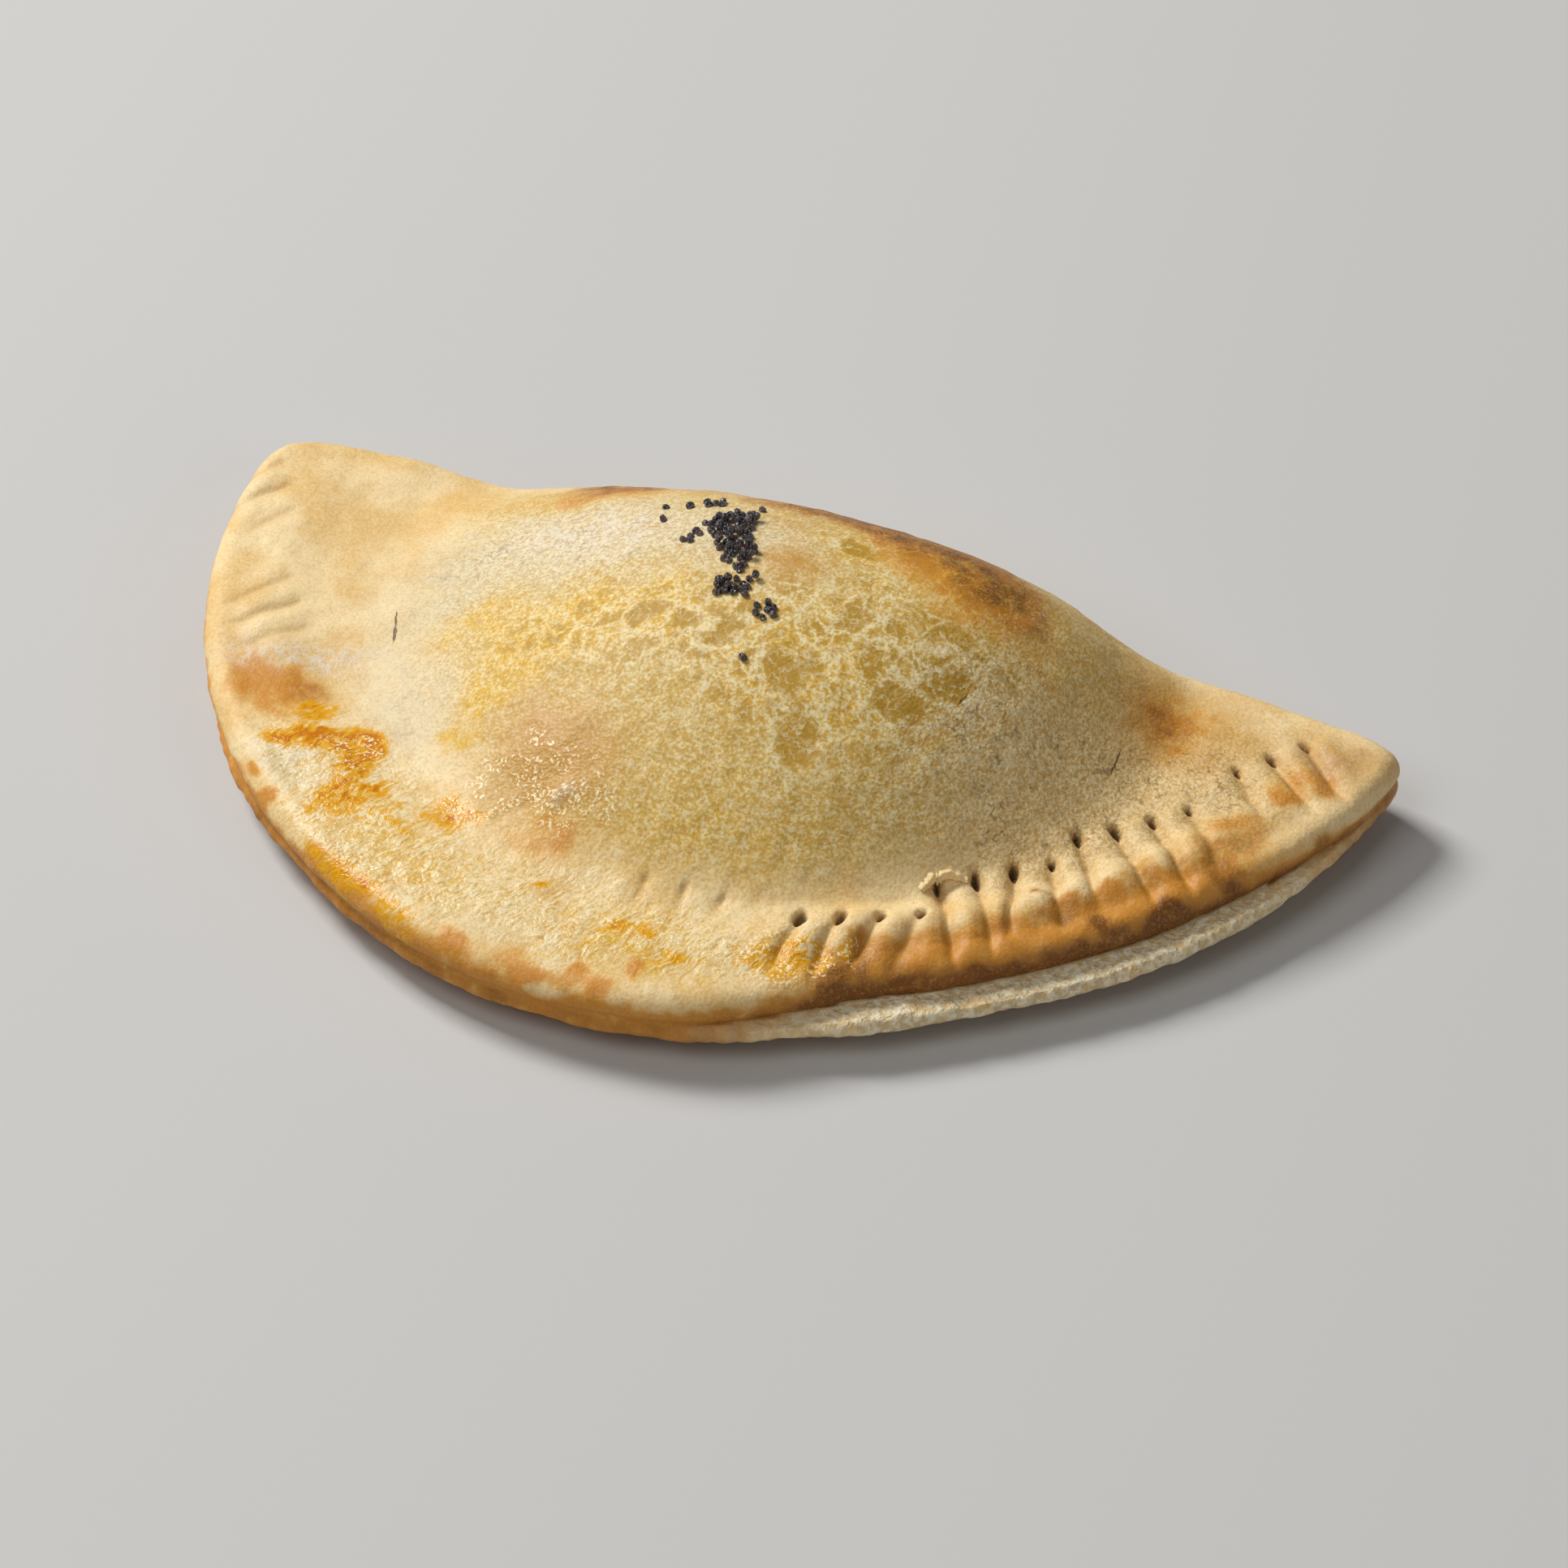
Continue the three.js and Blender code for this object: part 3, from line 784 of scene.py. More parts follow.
hand_made = sum(bell(crust_x, crust_v, form) for form in SWELLINGS)
shaping = rough((0.3, 15, 1), (0.13, 6.5, 2))
skin = rough((0.07, 2.1, 3), (0.05, 1.1, 4))
crumbs = rough((0.14, 1.9, 5), (0.12, 0.95, 6))
edge_wander = rough((0.5, 9, 7))
off_the_base = smooth_step(crust_z, 0.3, 2.5)
print("hand-made forms from", hand_made.min().round(2), "to", hand_made.max().round(2), "mm")

# %% Move the points
relief = upper * (fork_depth + hand_made + shaping + skin)
relief = relief + crumbly * (crumbs + edge_wander) + lower * crust_fold * (shaping + skin)
crust_points = smooth_crust + (relief * off_the_base)[:, None] * crust_out
print("relief from", relief.min().round(2), "to", relief.max().round(2), "mm")

# %% [markdown]
# ## Bake marks
# The oven and the egg wash coloured the crust in patches, and a few patches stand for light instead: the
# glint patches say where painted glints go, and over the glossy fork marks the golden band is held back
# so that they are painted paler, as a painted highlight. Painting them by hand would also work, but
# patches that are written down can be moved and read. Each is a bell curve at a named place, its edge
# broken up by noise, and the sums are carried by the vertices for the finish to read.

# %% Patches
ragged_x = crust_x + rough((1.7, 6, 11), (0.9, 2, 12))
ragged_v = crust_v + rough((1.7, 6, 13), (0.9, 2, 14))

PALE = {
    "left of the seeds": Form(-23, -15, 19, 9, 8, 1.0),
    "left shoulder": Form(-38, -27, 9, 12, -20, 0.6),
    "below the shoulder": Form(-33, -43, 9, 7, -25, 0.7),
    "around the seeds": Form(0, -15, 11, 7, -8, 0.7),
    "left pad": Form(-44, -55.5, 6.5, 3.4, -40, 0.8),
    "front rim": Form(-10, -71, 10, 2.5, -12, 0.3),
}
YOLKY = {
    "left of the dome": Form(-22, -37.4, 6.5, 4.4, 25, 1.3),
    "above it": Form(-17, -31, 8, 4.2, 20, 1.1),
    "far left of the dome": Form(-30, -29, 7, 5, 10, 0.8),
    "towards the seeds": Form(-10, -27.5, 7, 3.6, 0, 1.1),
    "dome, middle": Form(12, -31, 15, 9, -5, 0.7),
    "side of the dome": Form(-24.9, -45.4, 3.6, 1.6, 5, 1.1),
    "dome, front": Form(10, -50, 17, 5, 12, 0.45),
    "left front": Form(-27, -60, 9, 5, -25, 0.45),
    "front, left": Form(-18, -67, 10, 4, -20, 0.4),
    "front, right": Form(8, -67, 10, 4.5, 8, 0.7),
    "dome, upper right": Form(18, -9, 9, 3.5, -10, 0.6),
    "behind the seeds": Form(8, -12, 6, 3, -10, 0.4),
}
STRETCHED = {
    "dome, middle": Form(10, -30, 17, 10, -8, 1.4),
    "dome, right": Form(24, -16, 12, 9, -20, 1.3),
    "dome, left": Form(-18, -31.5, 11, 7, 12, 0.9),
}
BLUSHED = {
    "front of the dome": Form(-11, -49.5, 9, 7, 10, 0.9),
    "upper front": Form(-15, -43, 8, 5, 0, 0.55),
    "beside the seeds": Form(4.8, -17.6, 5, 3.0, 15, 0.95),
    "behind the seeds": Form(1, -9.5, 5, 1.8, -5, 0.6),
    "left end of the ridge": Form(-24, -5.5, 8, 2.0, 5, 0.5),
    "right flange": Form(51, -7, 10, 8, 10, 0.9),
    "right tip": Form(70, -5, 6, 5, 40, 0.9),
    "front": Form(-5, -61.5, 2.4, 1.6, 30, 0.5),
}
GOLDEN_PATCHES = {
    "left hollow": Form(-51.5, -43.6, 9.5, 5.2, -22, 1.05),
    "left back": Form(-48, -7, 8, 6, 20, 0.4),
    "left flange": Form(-52, -21, 10, 8, 30, 0.3),
    "left rim": Form(-46, -60, 6, 1.8, -45, 0.3),
    "below the blushed patch": Form(-7, -56, 7.5, 3.2, 18, 0.75),
    "right shoulder": Form(25, -10, 12, 6.5, -12, 1.0),
    "ridge": Form(12, -5.5, 16, 3.2, -4, 0.8),
    "left end of the ridge": Form(-25, -4.5, 10, 3.4, 3, 0.8),
    "right flange": Form(50.5, -6.2, 8, 6, 20, 0.75),
    "right tip": Form(68, -9, 4.4, 3.2, 50, 0.75),
    "pad": Form(62, -20.5, 4, 2.6, 45, 0.5),
    "front of the dome": Form(15, -51, 10, 4, 20, 0.2),
    "front rim, left": Form(-24, -71, 12, 2.4, -24, 0.6),
    "front rim": Form(0, -74, 12, 2.4, 2, 0.8),
}
TOASTED = {
    "back of the ridge, left": Form(-25, -0.6, 9, 4.8, 3, 0.9),
    "back of the ridge, middle": Form(5, -2.6, 15, 4.8, -3, 1.1),
    "back of the ridge, right": Form(21, -4.2, 12, 4.8, -3, 1.1),
    "right shoulder": Form(28.5, -10, 6.5, 4.2, -25, 0.75),
    "right flange": Form(50, -7, 6.4, 4.8, 20, 0.65),
    "left hollow": Form(-47, -43.2, 4.2, 3.0, -10, 0.55),
    "bead": Form(47.1, -40.3, 1.2, 0.9, 60, 0.7),
    "front rim": Form(28, -63, 6, 1.4, 32, 0.35),
    "front roll": Form(40, -54.5, 8, 1.8, 40, 0.45),
    "right roll": Form(53, -43, 8, 1.6, 46, 0.2),
    "right tip": Form(71, -8, 2.2, 1.2, 50, 0.4),
}
GOLDEN_SPOTS = [(-32.8, -65.9), (-30.4, -68.4), (-24.4, -70.5), (-43.2, -61.2), (-47.1, -57.6)]
GOLDEN_SPOTS += [(-17.8, -74.0), (-12.4, -74.7), (3.0, -71.4), (9.5, -69.6), (-2.0, -75.7), (7.0, -74.6)]
GOLDEN_SPOTS += [(53.8, -37.1), (58.2, -32.5), (61.2, -29.9), (50.4, -41.0), (67.0, -13.6), (71.3, -8.1)]
EGG_WASH = {
    "hook, start": Form(-44.5, -50.4, 4.0, 2.1, 25, 0.9),
    "hook, bend": Form(-38.8, -49.2, 4.4, 2.6, 0, 1.2),
    "hook, side": Form(-35, -52.8, 2.0, 3.6, 12, 1.1),
    "hook, tail": Form(-32.5, -55.8, 3.2, 1.5, 20, 0.9),
    "drops in the hollow": Form(-44.8, -45.4, 3.0, 1.6, 15, 0.8),
    "below the hook": Form(-35, -59.5, 3.4, 2.4, 50, 0.7),
    "left front": Form(-27, -58.6, 6, 2.8, 25, 0.5),
    "side of the dome": Form(-20.4, -54, 3.0, 2.6, 40, 0.75),
    "left rim": Form(-29, -68, 6, 1.8, -30, 0.85),
    "front rim, left": Form(-20, -71.5, 6, 1.5, -20, 0.6),
    "front": Form(6, -65, 4.6, 1.5, 20, 0.8),
    "front, right": Form(12, -66.5, 5.0, 2.2, 15, 0.5),
    "fork marks": Form(25, -59.4, 7.5, 2.8, 32, 0.9),
    "small drop": Form(-7.8, -62.1, 1.8, 1.0, 30, 0.7),
}
BRUSHED = {
    "left front": Form(-30, -60, 14, 8, -28, 1.2),
    "front": Form(-8, -65, 17, 7, -4, 1.1),
    "front, right": Form(15, -63, 13, 5.5, 14, 0.9),
    "hook": Form(-40, -51.5, 8, 4.5, -15, 1.0),
}
# Places of painted glints: pale specks painted into the colour stand for tiny highlights, and the skin
# there is glossier and a little bumpier.
GLINT_PATCHES = {
    "upper left": Form(-15, -47.6, 5, 2.6, 20, 1.2),
    "left": Form(-16, -51.6, 5, 2.2, 15, 1.4),
    "right": Form(-6, -49.8, 4, 3.6, 0, 1.1),
    "below": Form(-9, -53.6, 6, 2.4, 15, 0.8),
    "hook": Form(-37, -51, 4, 3, -20, 1.0),
    "fork marks": Form(24.5, -59.4, 6.5, 3, 32, 2.0),
    "left rim": Form(-27, -66, 7, 2, -28, 0.6),
    "front": Form(8, -64, 7, 2.5, 15, 0.6),
}
FLOURED = {
    "below the left fork marks": Form(-54.5, -38.6, 8, 3.2, 22, 0.7),
    "beside the hollow": Form(-45, -35.5, 6, 3, 20, 0.5),
    "left of the seeds": Form(-24, -14, 12, 6, 6, 0.95),
    "pale lump": Form(-8.9, -51.5, 1.8, 1.3, 60, 0.9),
    "right tip": Form(70, -5, 6, 5, 0, 0.35),
    "left pad": Form(-42, -53, 4, 2, -30, 0.5),
}
SANDY = {
    "right slope": Form(39, -26, 13, 14, -40, 1.3),
    "right flange": Form(58, -13, 11, 9, 20, 0.9),
}
SPOT_SIZE = 1.4
SPOT_STRENGTH = 1.0
spots = {at: Form(*at, SPOT_SIZE, SPOT_SIZE, 0, SPOT_STRENGTH) for at in GOLDEN_SPOTS}


def painted(patches):
    """The sum of a set of patches on the upper sheet, from 0 to 1."""
    total = sum(bell(ragged_x, ragged_v, form) for form in patches.values())
    return np.clip(total * upper, 0, 1)


bake_marks = {
    "pale": painted(PALE),
    "yolky": painted(YOLKY),
    "stretched": painted(STRETCHED),
    "blushed": painted(BLUSHED),
    "golden": painted(GOLDEN_PATCHES | spots),
    "toasted": painted(TOASTED),
    "egg_wash": painted(EGG_WASH),
    "brushed": painted(BRUSHED),
    "glint_patches": painted(GLINT_PATCHES),
    "floured": painted(FLOURED),
    "sandy": painted(SANDY),
}
print({name: round(float(values.mean()), 3) for name, values in bake_marks.items()})

# %% Open cells
LARGE_CELLS = {
    "below the seeds": Form(1.6, -29.2, 2.9, 2.3, 60),
    "left of it": Form(-3.6, -28.6, 2.2, 1.7, 20),
    "far left": Form(-8.6, -28.4, 2.6, 1.6, 40),
    "middle": Form(11.6, -31.5, 4.2, 3.2, 70),
    "front": Form(15.6, -38.6, 2.6, 3.4, 40),
    "right": Form(24.4, -29.4, 3.2, 2.2, 10),
    "far right": Form(28.4, -24.4, 3.4, 2.0, 30),
    "between them": Form(20.4, -26.6, 2.0, 1.7, 0),
    "upper middle": Form(15.4, -22.4, 2.2, 1.6, 30),
    "upper right": Form(20.8, -21.4, 2.0, 1.5, -20),
    "shoulder": Form(26.8, -18.2, 1.9, 1.5, 0),
    "top": Form(11.6, -11.2, 3.2, 2.0, 0),
    "top right": Form(18.8, -9.6, 3.0, 1.8, -10),
}
CELL_DEPTH = 0.12
FAR_OFF = 9.0  # a distance that stands for no cell nearby

shaken_x = crust_x + rough((0.9, 2.6, 17), (0.3, 1.1, 18))
shaken_v = crust_v + rough((0.9, 2.6, 19), (0.3, 1.1, 20))
to_cell = np.full(len(crust_x), FAR_OFF)
for cell in LARGE_CELLS.values():
    along, across = along_and_across(shaken_x, shaken_v, (cell.x, cell.v), cell.turn)
    to_cell = np.minimum(to_cell, np.hypot(along / cell.long, across / cell.wide))
to_cell = np.where(upper > 0.5, to_cell, FAR_OFF)
sunk_cell = 1 - smooth_step(to_cell, 0.6, 1.1)
crust_points = crust_points - (CELL_DEPTH * sunk_cell)[:, None] * crust_out
print(len(LARGE_CELLS), "open cells over", int((to_cell < 1).sum()), "points")

# %% Edges, pits and sheets
# Over the glossy fork marks at the front the golden band starts later, so they are painted paler: a painted
# highlight of the wet wash.
PAINTED_SHEEN_PLACE = EGG_WASH["fork marks"]._replace(strength=0.17)  # there the golden band keeps to the rim
FELT_LEFT = 0.8  # the felt is thinner at the left end of the dome
FELT_BEHIND = 0.35  # and behind the ridge
CELL_LIMIT = 4.0

on_rim = 1 - crust_fold
outline_share = np.concatenate([grid_ring / HALF, np.ones(AROUND * SKIRT_ROWS), [0]])
gape_here = seam_gape(crust_around) * on_rim
waver = rough((1, 5, 15), (0.7, 2, 16))
band_start = 0.75 + bell(crust_x, crust_v, PAINTED_SHEEN_PLACE)
ridge_band = upper * gape_here * smooth_step(outline_share + 0.06 * waver, band_start, 1.02)
roll_top = FLANGE_HEIGHT - 0.6 * (1 - gape_here) + 0.8 * waver
edge = upper * on_rim * smooth_step(roll_top - crust_z, -0.4, 2.3) * smooth_step(outline_share, 0.93, 1)
shut_edge = lower * on_rim * (1 - gape_here)
rim_gold = ridge_band + 0.8 * edge + shut_edge
# Dark brown over the rim's edge and roll, strongest where the seam gapes at the front and the right: partly
# browning in the oven, partly painted shade of the roll that faces away from the light.
rim_toast_and_shade = edge * (0.12 + 0.88 * gape_here) + shut_edge * (0.28 + 0.2 * waver)
rim_toast_and_shade = rim_toast_and_shade + ridge_band * np.clip(0.1 + 0.5 * waver, 0, 0.45)
bake_marks["golden"] = np.clip(bake_marks["golden"] + rim_gold, 0, 1)
bake_marks["browned_and_shaded"] = np.clip(rim_toast_and_shade, 0, 1)

on_dome = smooth_step(dome(crust_x, crust_v) / DOME_RISE, 0.02, 0.3)
on_dome = np.maximum(on_dome, crust_fold * smooth_step(ridge(crust_x), 0.1, 0.5))
felt_across = FELT_LEFT + (1 - FELT_LEFT) * smooth_step(crust_x, -38, -5)
felt_back = 1 - (1 - FELT_BEHIND) * smooth_step(crust_v + 2 * waver, -9, 3)
bake_marks["felted"] = (upper + lower * crust_fold) * on_dome * felt_across * felt_back
bake_marks["cell_distance"] = np.minimum(to_cell, CELL_LIMIT)
bake_marks["pits"] = np.clip(pit_mask * upper, 0, 1)
bake_marks["grooves"] = np.clip(groove_shade_line * upper, 0, 1)
bake_marks["crumbly"] = crumbly * gape_here
fold_foot = crust_fold * smooth_step(9 - crust_z + waver, 0, 8.5)
rim_foot = lower * smooth_step(2.2 - crust_z, 0, 2)
bake_marks["underside"] = np.maximum(under, np.maximum(fold_foot, rim_foot))
print("browned edge over", int((edge > 0.3).sum()), "points")

# %% [markdown]
# ## The crust's finish
# Baked dough is matt and a little translucent. Pale cream is the ground, and every layer after it is
# mixed over it by a mask: yellow skin, a felt of fine white threads with open yellow cells where the skin
# was stretched thin, blushed, golden and toasted patches, amber egg wash with the strokes of the brush in
# it, flour, and the dry crumbs of the lower sheet. A few layers are painted light and shade: pale specks
# are painted glints, the pale brush strands are partly painted sheen, the dark brown of the rim's roll is
# partly painted shade, and a darker line along each fork groove is painted shade. Light that goes into the
# dough and comes out again a millimetre away is the shader's subsurface share.

# %% Masks of the crust
dough = Finish(
    "baked_dough",
    Subsurface_Weight=0.1,
    Subsurface_Radius=(1.0, 0.5, 0.22),
    Subsurface_Scale=0.0014,
    Specular_IOR_Level=0.35,
    IOR=1.45,
)
mask = {name: dough.field(name) for name in bake_marks}
broad = dough.cloud(9, 2)
mottle = dough.cloud(2.2, 3)
fine = dough.cloud(0.9, 3)
grain = dough.cloud(0.4, 2)
uneven = (mottle - 0.5) * 2.4 + (fine - 0.5) * 1.2


def patchy(name, low, high):
    """A mask with its edge broken up by the mottle, 0 up to low and 1 from high on."""
    return (mask[name] * (1 + uneven)).climb(low, high)


def soft(name):
    """A mask with a wide edge that the mottle breaks up only a little."""
    return (mask[name] * (1 + 0.5 * uneven)).climb(0.0, 1.05)


print("masks read from the mesh:", ", ".join(bake_marks))

# %% Threads
WIDE_CELL = 7.0
NARROW_CELL = 2.8
FELT_SIZE = 1.7
CELL_RING = 1.15  # distance of the pale ring round an open cell, as a share of the cell

frayed = dough.pushed(1.0, 1.5)
wandering = dough.pushed(5, 6, frayed)
wide_wall = dough.walls(WIDE_CELL, wandering)
narrow_wall = dough.walls(NARROW_CELL, wandering)
broken = dough.cloud(4, 1)
wide_vein = (1 - wide_wall.climb(0.01, 0.045)) * broken.climb(0.34, 0.48)
narrow_vein = (1 - narrow_wall.climb(0.02, 0.1)) * (1 - broken).climb(0.34, 0.58)
cell_distance = mask["cell_distance"] + (mottle - 0.5) * 1.1 + (fine - 0.5) * 0.6
inside = 1 - cell_distance.climb(0.7, 1.1)
ring = (1 - abs(cell_distance - CELL_RING).climb(0.03, 0.14)) * (1 - broken).climb(0.36, 0.56)
between = wide_wall.climb(0.04, 0.2) * narrow_wall.climb(0.05, 0.24)
open_cell = inside.over(mask["stretched"] * between * 0.9)
felt = dough.lines(FELT_SIZE, 0.05, frayed) * fine.climb(0.34, 0.6)
veins = mask["stretched"] * wide_vein.over(narrow_vein * 0.8) * (1 - 0.7 * inside)
threads = veins.over(ring * 0.8) * grain.climb(0.25, 0.5)
threads = threads.over(mask["felted"] * felt * 0.7)
print("veins round cells of", WIDE_CELL, "and", NARROW_CELL, "mm, felt of", FELT_SIZE, "mm")

# %% Brush strokes
STROKE_TURN = 62
STROKE_SIZES = (1.7, 0.5, 2.0)

swept = dough.pushed(2.5, 2.4, dough.pushed(7, 3))
brush = dough.turned((0, 0, 0), STROKE_TURN, STROKE_SIZES, swept)
strokes = dough.cloud(1.0, 3, brush)
wash = mask["egg_wash"] * (1 + uneven + (0.5 - strokes) * 2.4)
pooled = wash.climb(0.25, 0.7)
deep = wash.climb(0.65, 1.3)
# Pale strands of the brush on the wash, painted brighter than the dough so that they also stand for the
# sheen of the wet strokes.
fibres_and_sheen = mask["brushed"] * strokes.climb(0.5, 0.7) * (1 - 0.8 * pooled)
between_fibres = mask["brushed"] * (1 - strokes).climb(0.48, 0.64)
# Painted glints: pale specks in clumps over the glint patches, where the skin is also made glossy.
clumped = (mask["glint_patches"] * (0.2 + 1.6 * mottle.climb(0.4, 0.6))).climb(0.3, 0.9)
painted_glints = grain.climb(0.54, 0.6) * clumped
print("brush strokes at", STROKE_TURN, "degrees")

# %% Cracks
CRACKS = [  # x, v, turn in degrees, half a length and half a width
    (-42.7, -27.9, -66, 1.5, 0.13),
    (-41.6, -30.4, -70, 1.7, 0.17),
    (46.6, -16.5, 94, 2.1, 0.15),
    (30.3, -24.6, 75, 0.9, 0.2),
]
shaken = dough.pushed(0.9, 0.5)
cracks = 0
for x, v, turn, long, wide in CRACKS:
    middle = (x - CENTRE[0], v - CENTRE[1], 0)
    away = dough.vector("LENGTH", dough.turned(middle, turn, (long, wide, 1e4), shaken), output="Value")
    cracks = cracks + (1 - away.climb(0.4, 1.2))
crazed = dough.lines(2.6, 0.035, shaken) * mottle.climb(0.46, 0.6)
crazed = crazed * (mask["sandy"] + 0.7 * mask["pale"]).climb(0.2, 0.9)
print(len(CRACKS), "cracks, and crazing on the sandy side")

# %% Colours of the crust
CREAM = colour("F2D7A2")
WARM_CREAM = colour("E6C07E")
PALE_SKIN = colour("D3C4A1")
SANDY_SKIN = colour("D8B980")
DOME_SKIN = colour("CDA848")
YOLK = colour("DCAD1E")
CELL = colour("AE8410")
THREAD = colour("E6D9AC")
BLUSH = colour("C48F3E")
HONEY = colour("E0AB4E")
GOLDEN = colour("CB7F1C")
TOAST = colour("A6621A")
DARK_TOAST = colour("5F3513")
AMBER = colour("E4A510")
DEEP_AMBER = colour("C66A00")
# baked brown of the roll, made darker as painted shade
ROLL_BROWN_AND_SHADE = colour("6C3A08")
# pale colour of strands and grain, also used for painted glints and painted sheen
PALE_FIBRE_AND_GLINT = colour("F8E7B8")
FLOUR = colour("E4D7C5")
SPECKLE = colour("BC8A34")
PIT = colour("5F401F")
CRUMB = colour("F6E8C6")
CRUMB_DARK = colour("D8C092")
UNDERSIDE = colour("C8965A")

baked = mask["golden"].over(mask["blushed"]).over(mask["toasted"]).over(mask["browned_and_shaded"])
rough_skin = 0.4 + 0.6 * mask["felted"].over(mask["sandy"]).over(0.4 * mask["brushed"])
light_grain = rough_skin * (1 - 0.7 * baked) * (1 - 0.8 * open_cell)
plates = soft("floured") * (0.4 + 0.6 * fine.climb(0.47, 0.53))
base_colour = dough.layered(
    UNDERSIDE,
    (broad.climb(0.36, 0.64), GOLDEN),
    (mottle.climb(0.5, 0.75) * 0.6, TOAST),
)
crumb_colour = dough.layered(
    CRUMB_DARK,
    (fine.climb(0.4, 0.6), CRUMB),
    (mottle.climb(0.45, 0.65) * 0.5, WARM_CREAM),
)
skin_layers = [
    (broad.climb(0.38, 0.64), WARM_CREAM),
    (mask["felted"] * 0.85, DOME_SKIN),
    (soft("sandy") * 0.9, SANDY_SKIN),
    (soft("pale") * 0.85, PALE_SKIN),
    (patchy("yolky", 0.1, 1.1) * 0.95, YOLK),
    (open_cell * 0.9, CELL),
    (threads * 0.85, THREAD),
    (between_fibres * 0.55, YOLK),
    # pale brush strands, partly painted sheen
    (fibres_and_sheen * 0.85, PALE_FIBRE_AND_GLINT),
    (soft("blushed") * 0.9, BLUSH),
    (soft("golden").climb(0.0, 1.0) * 0.9, HONEY),
    (soft("golden").climb(0.3, 1.25) * 0.95, GOLDEN),
    (mask["underside"], base_colour),
    # the roll's dark brown: browning and painted shade
    (soft("browned_and_shaded") * 0.95, ROLL_BROWN_AND_SHADE),
    (grain.climb(0.5, 0.64) * mask["browned_and_shaded"] * 0.25, GOLDEN),
    (soft("toasted").climb(0.05, 0.95) * 0.9, TOAST),
    (patchy("toasted", 0.6, 1.3) * 0.8, DARK_TOAST),
    (threads * mask["toasted"].over(mask["golden"]) * 0.6, YOLK),
    (plates * 0.8, FLOUR),
    (fine.climb(0.5, 0.72) * light_grain * 0.3, PALE_FIBRE_AND_GLINT),
    ((1 - fine).climb(0.5, 0.72) * rough_skin * 0.3, SPECKLE),
    (grain.climb(0.5, 0.66) * light_grain * 0.5, PALE_FIBRE_AND_GLINT),
    ((1 - grain).climb(0.5, 0.66) * rough_skin * 0.5, SPECKLE),
    (threads * (1 - baked) * 0.3, THREAD),
    (pooled * 0.95, AMBER),
    (deep * 0.8, DEEP_AMBER),
    # painted glints
    (painted_glints * 0.9, PALE_FIBRE_AND_GLINT),
    # painted shade along each fork groove
    (mask["grooves"] * 0.3, SPECKLE),
    (crazed * 0.5, PIT),
    (mask["pits"].climb(0.3, 0.9) * 0.85, PIT),
    (cracks.climb(0.0, 1.0) * 0.75, DARK_TOAST),
    (mask["crumbly"] * (1 - 0.5 * mask["underside"]), crumb_colour),
]
skin_colour = dough.layered(CREAM, *skin_layers)
print(len(skin_layers), "layers of colour over the cream")

# %% Gloss and fine relief of the crust
COARSE = {"crumbly": 2.2, "browned_and_shaded": 0.4, "sandy": 1, "floured": 0.5, "glint_patches": 0.6, "brushed": 0.3}

gloss = pooled.over(painted_glints).over(0.8 * mask["brushed"])
gloss = gloss.over(0.45 * mask["blushed"]).over(0.25 * mask["golden"])
crust_roughness = 0.56 - 0.34 * gloss + 0.12 * mask["floured"] + 0.15 * mask["crumbly"]
coarse = sum(share * mask[name] for name, share in COARSE.items())
grain_height = 0.06 * fine + 0.06 * grain + 0.05 * mottle + (0.2 * fine + 0.1 * grain) * coarse
grain_height = grain_height + 0.17 * strokes * mask["brushed"] - 0.25 * cracks
dough.dress(Base_Color=skin_colour, Roughness=crust_roughness, Normal=dough.bump(grain_height))
print("the crust's finish is done")

# %% [markdown]
# ## The torn flake
# Beside one fork hole the fork lifted a splinter of dough. It is a thin wedge that is carried along a
# bent path, low at both ends and ragged on top, and it stands in the crust beside the torn hollow.

# %% Flake
FLAKE_PATH = np.array([[33.4, -44.8], [34.2, -42.6], [35.6, -41.2], [37.9, -40.2]])
FLAKE_RINGS = 30
FLAKE_COLUMNS = 10
FLAKE_HIGH = 0.75
FLAKE_THICK = 0.8
FLAKE_LEAN = 0.5
FLAKE_RAGGED = 0.35
FLAKE_LUMP = 0.75
FLAKE_ROOT = 0.1  # how deep its foot stands in the crust


def nearest_crust(x, v):
    """Numbers of the top's points that lie nearest to places of the plan."""
    top_x, top_v, _ = crust_points[: len(top_points)].T
    away = (top_x - x[:, None]) ** 2 + (top_v - v[:, None]) ** 2
    return away.argmin(axis=1)


def capped_tube(rings, columns):
    """Faces of rings of points with a cap point at each end, numbered ring by ring, then the two caps."""
    index = np.arange(rings * columns).reshape(rings, columns)
    index = np.concatenate([index, index[:, :1]], axis=1)
    quads = grid_quads(index)
    first = np.stack([index[0, 1:], index[0, :-1], np.full(columns, rings * columns)], axis=1)
    final = np.stack([index[-1, :-1], index[-1, 1:], np.full(columns, rings * columns + 1)], axis=1)
    return quads, np.concatenate([first, final])


flake_share = (np.arange(FLAKE_RINGS) + 0.5) / FLAKE_RINGS
knots = np.linspace(0, 1, len(FLAKE_PATH))
flake_x = np.interp(flake_share, knots, FLAKE_PATH[:, 0])
flake_v = np.interp(flake_share, knots, FLAKE_PATH[:, 1])
flake_way = unit(np.stack([np.gradient(flake_x), np.gradient(flake_v)], axis=1))
flake_side = np.stack([flake_way[:, 1], -flake_way[:, 0]], axis=1)
flake_foot = crust_points[nearest_crust(flake_x, flake_v), 2]
flake_line = np.stack([flake_x, flake_v, 0 * flake_x], axis=1)
ragged = 1 + FLAKE_RAGGED * lumps(flake_line, FLAKE_LUMP, 31)
tall = FLAKE_HIGH * np.sin(np.pi * flake_share) ** 0.6 * ragged
turn = np.linspace(0, 2 * np.pi, FLAKE_COLUMNS, endpoint=False)[None]
rise = np.sin(turn)
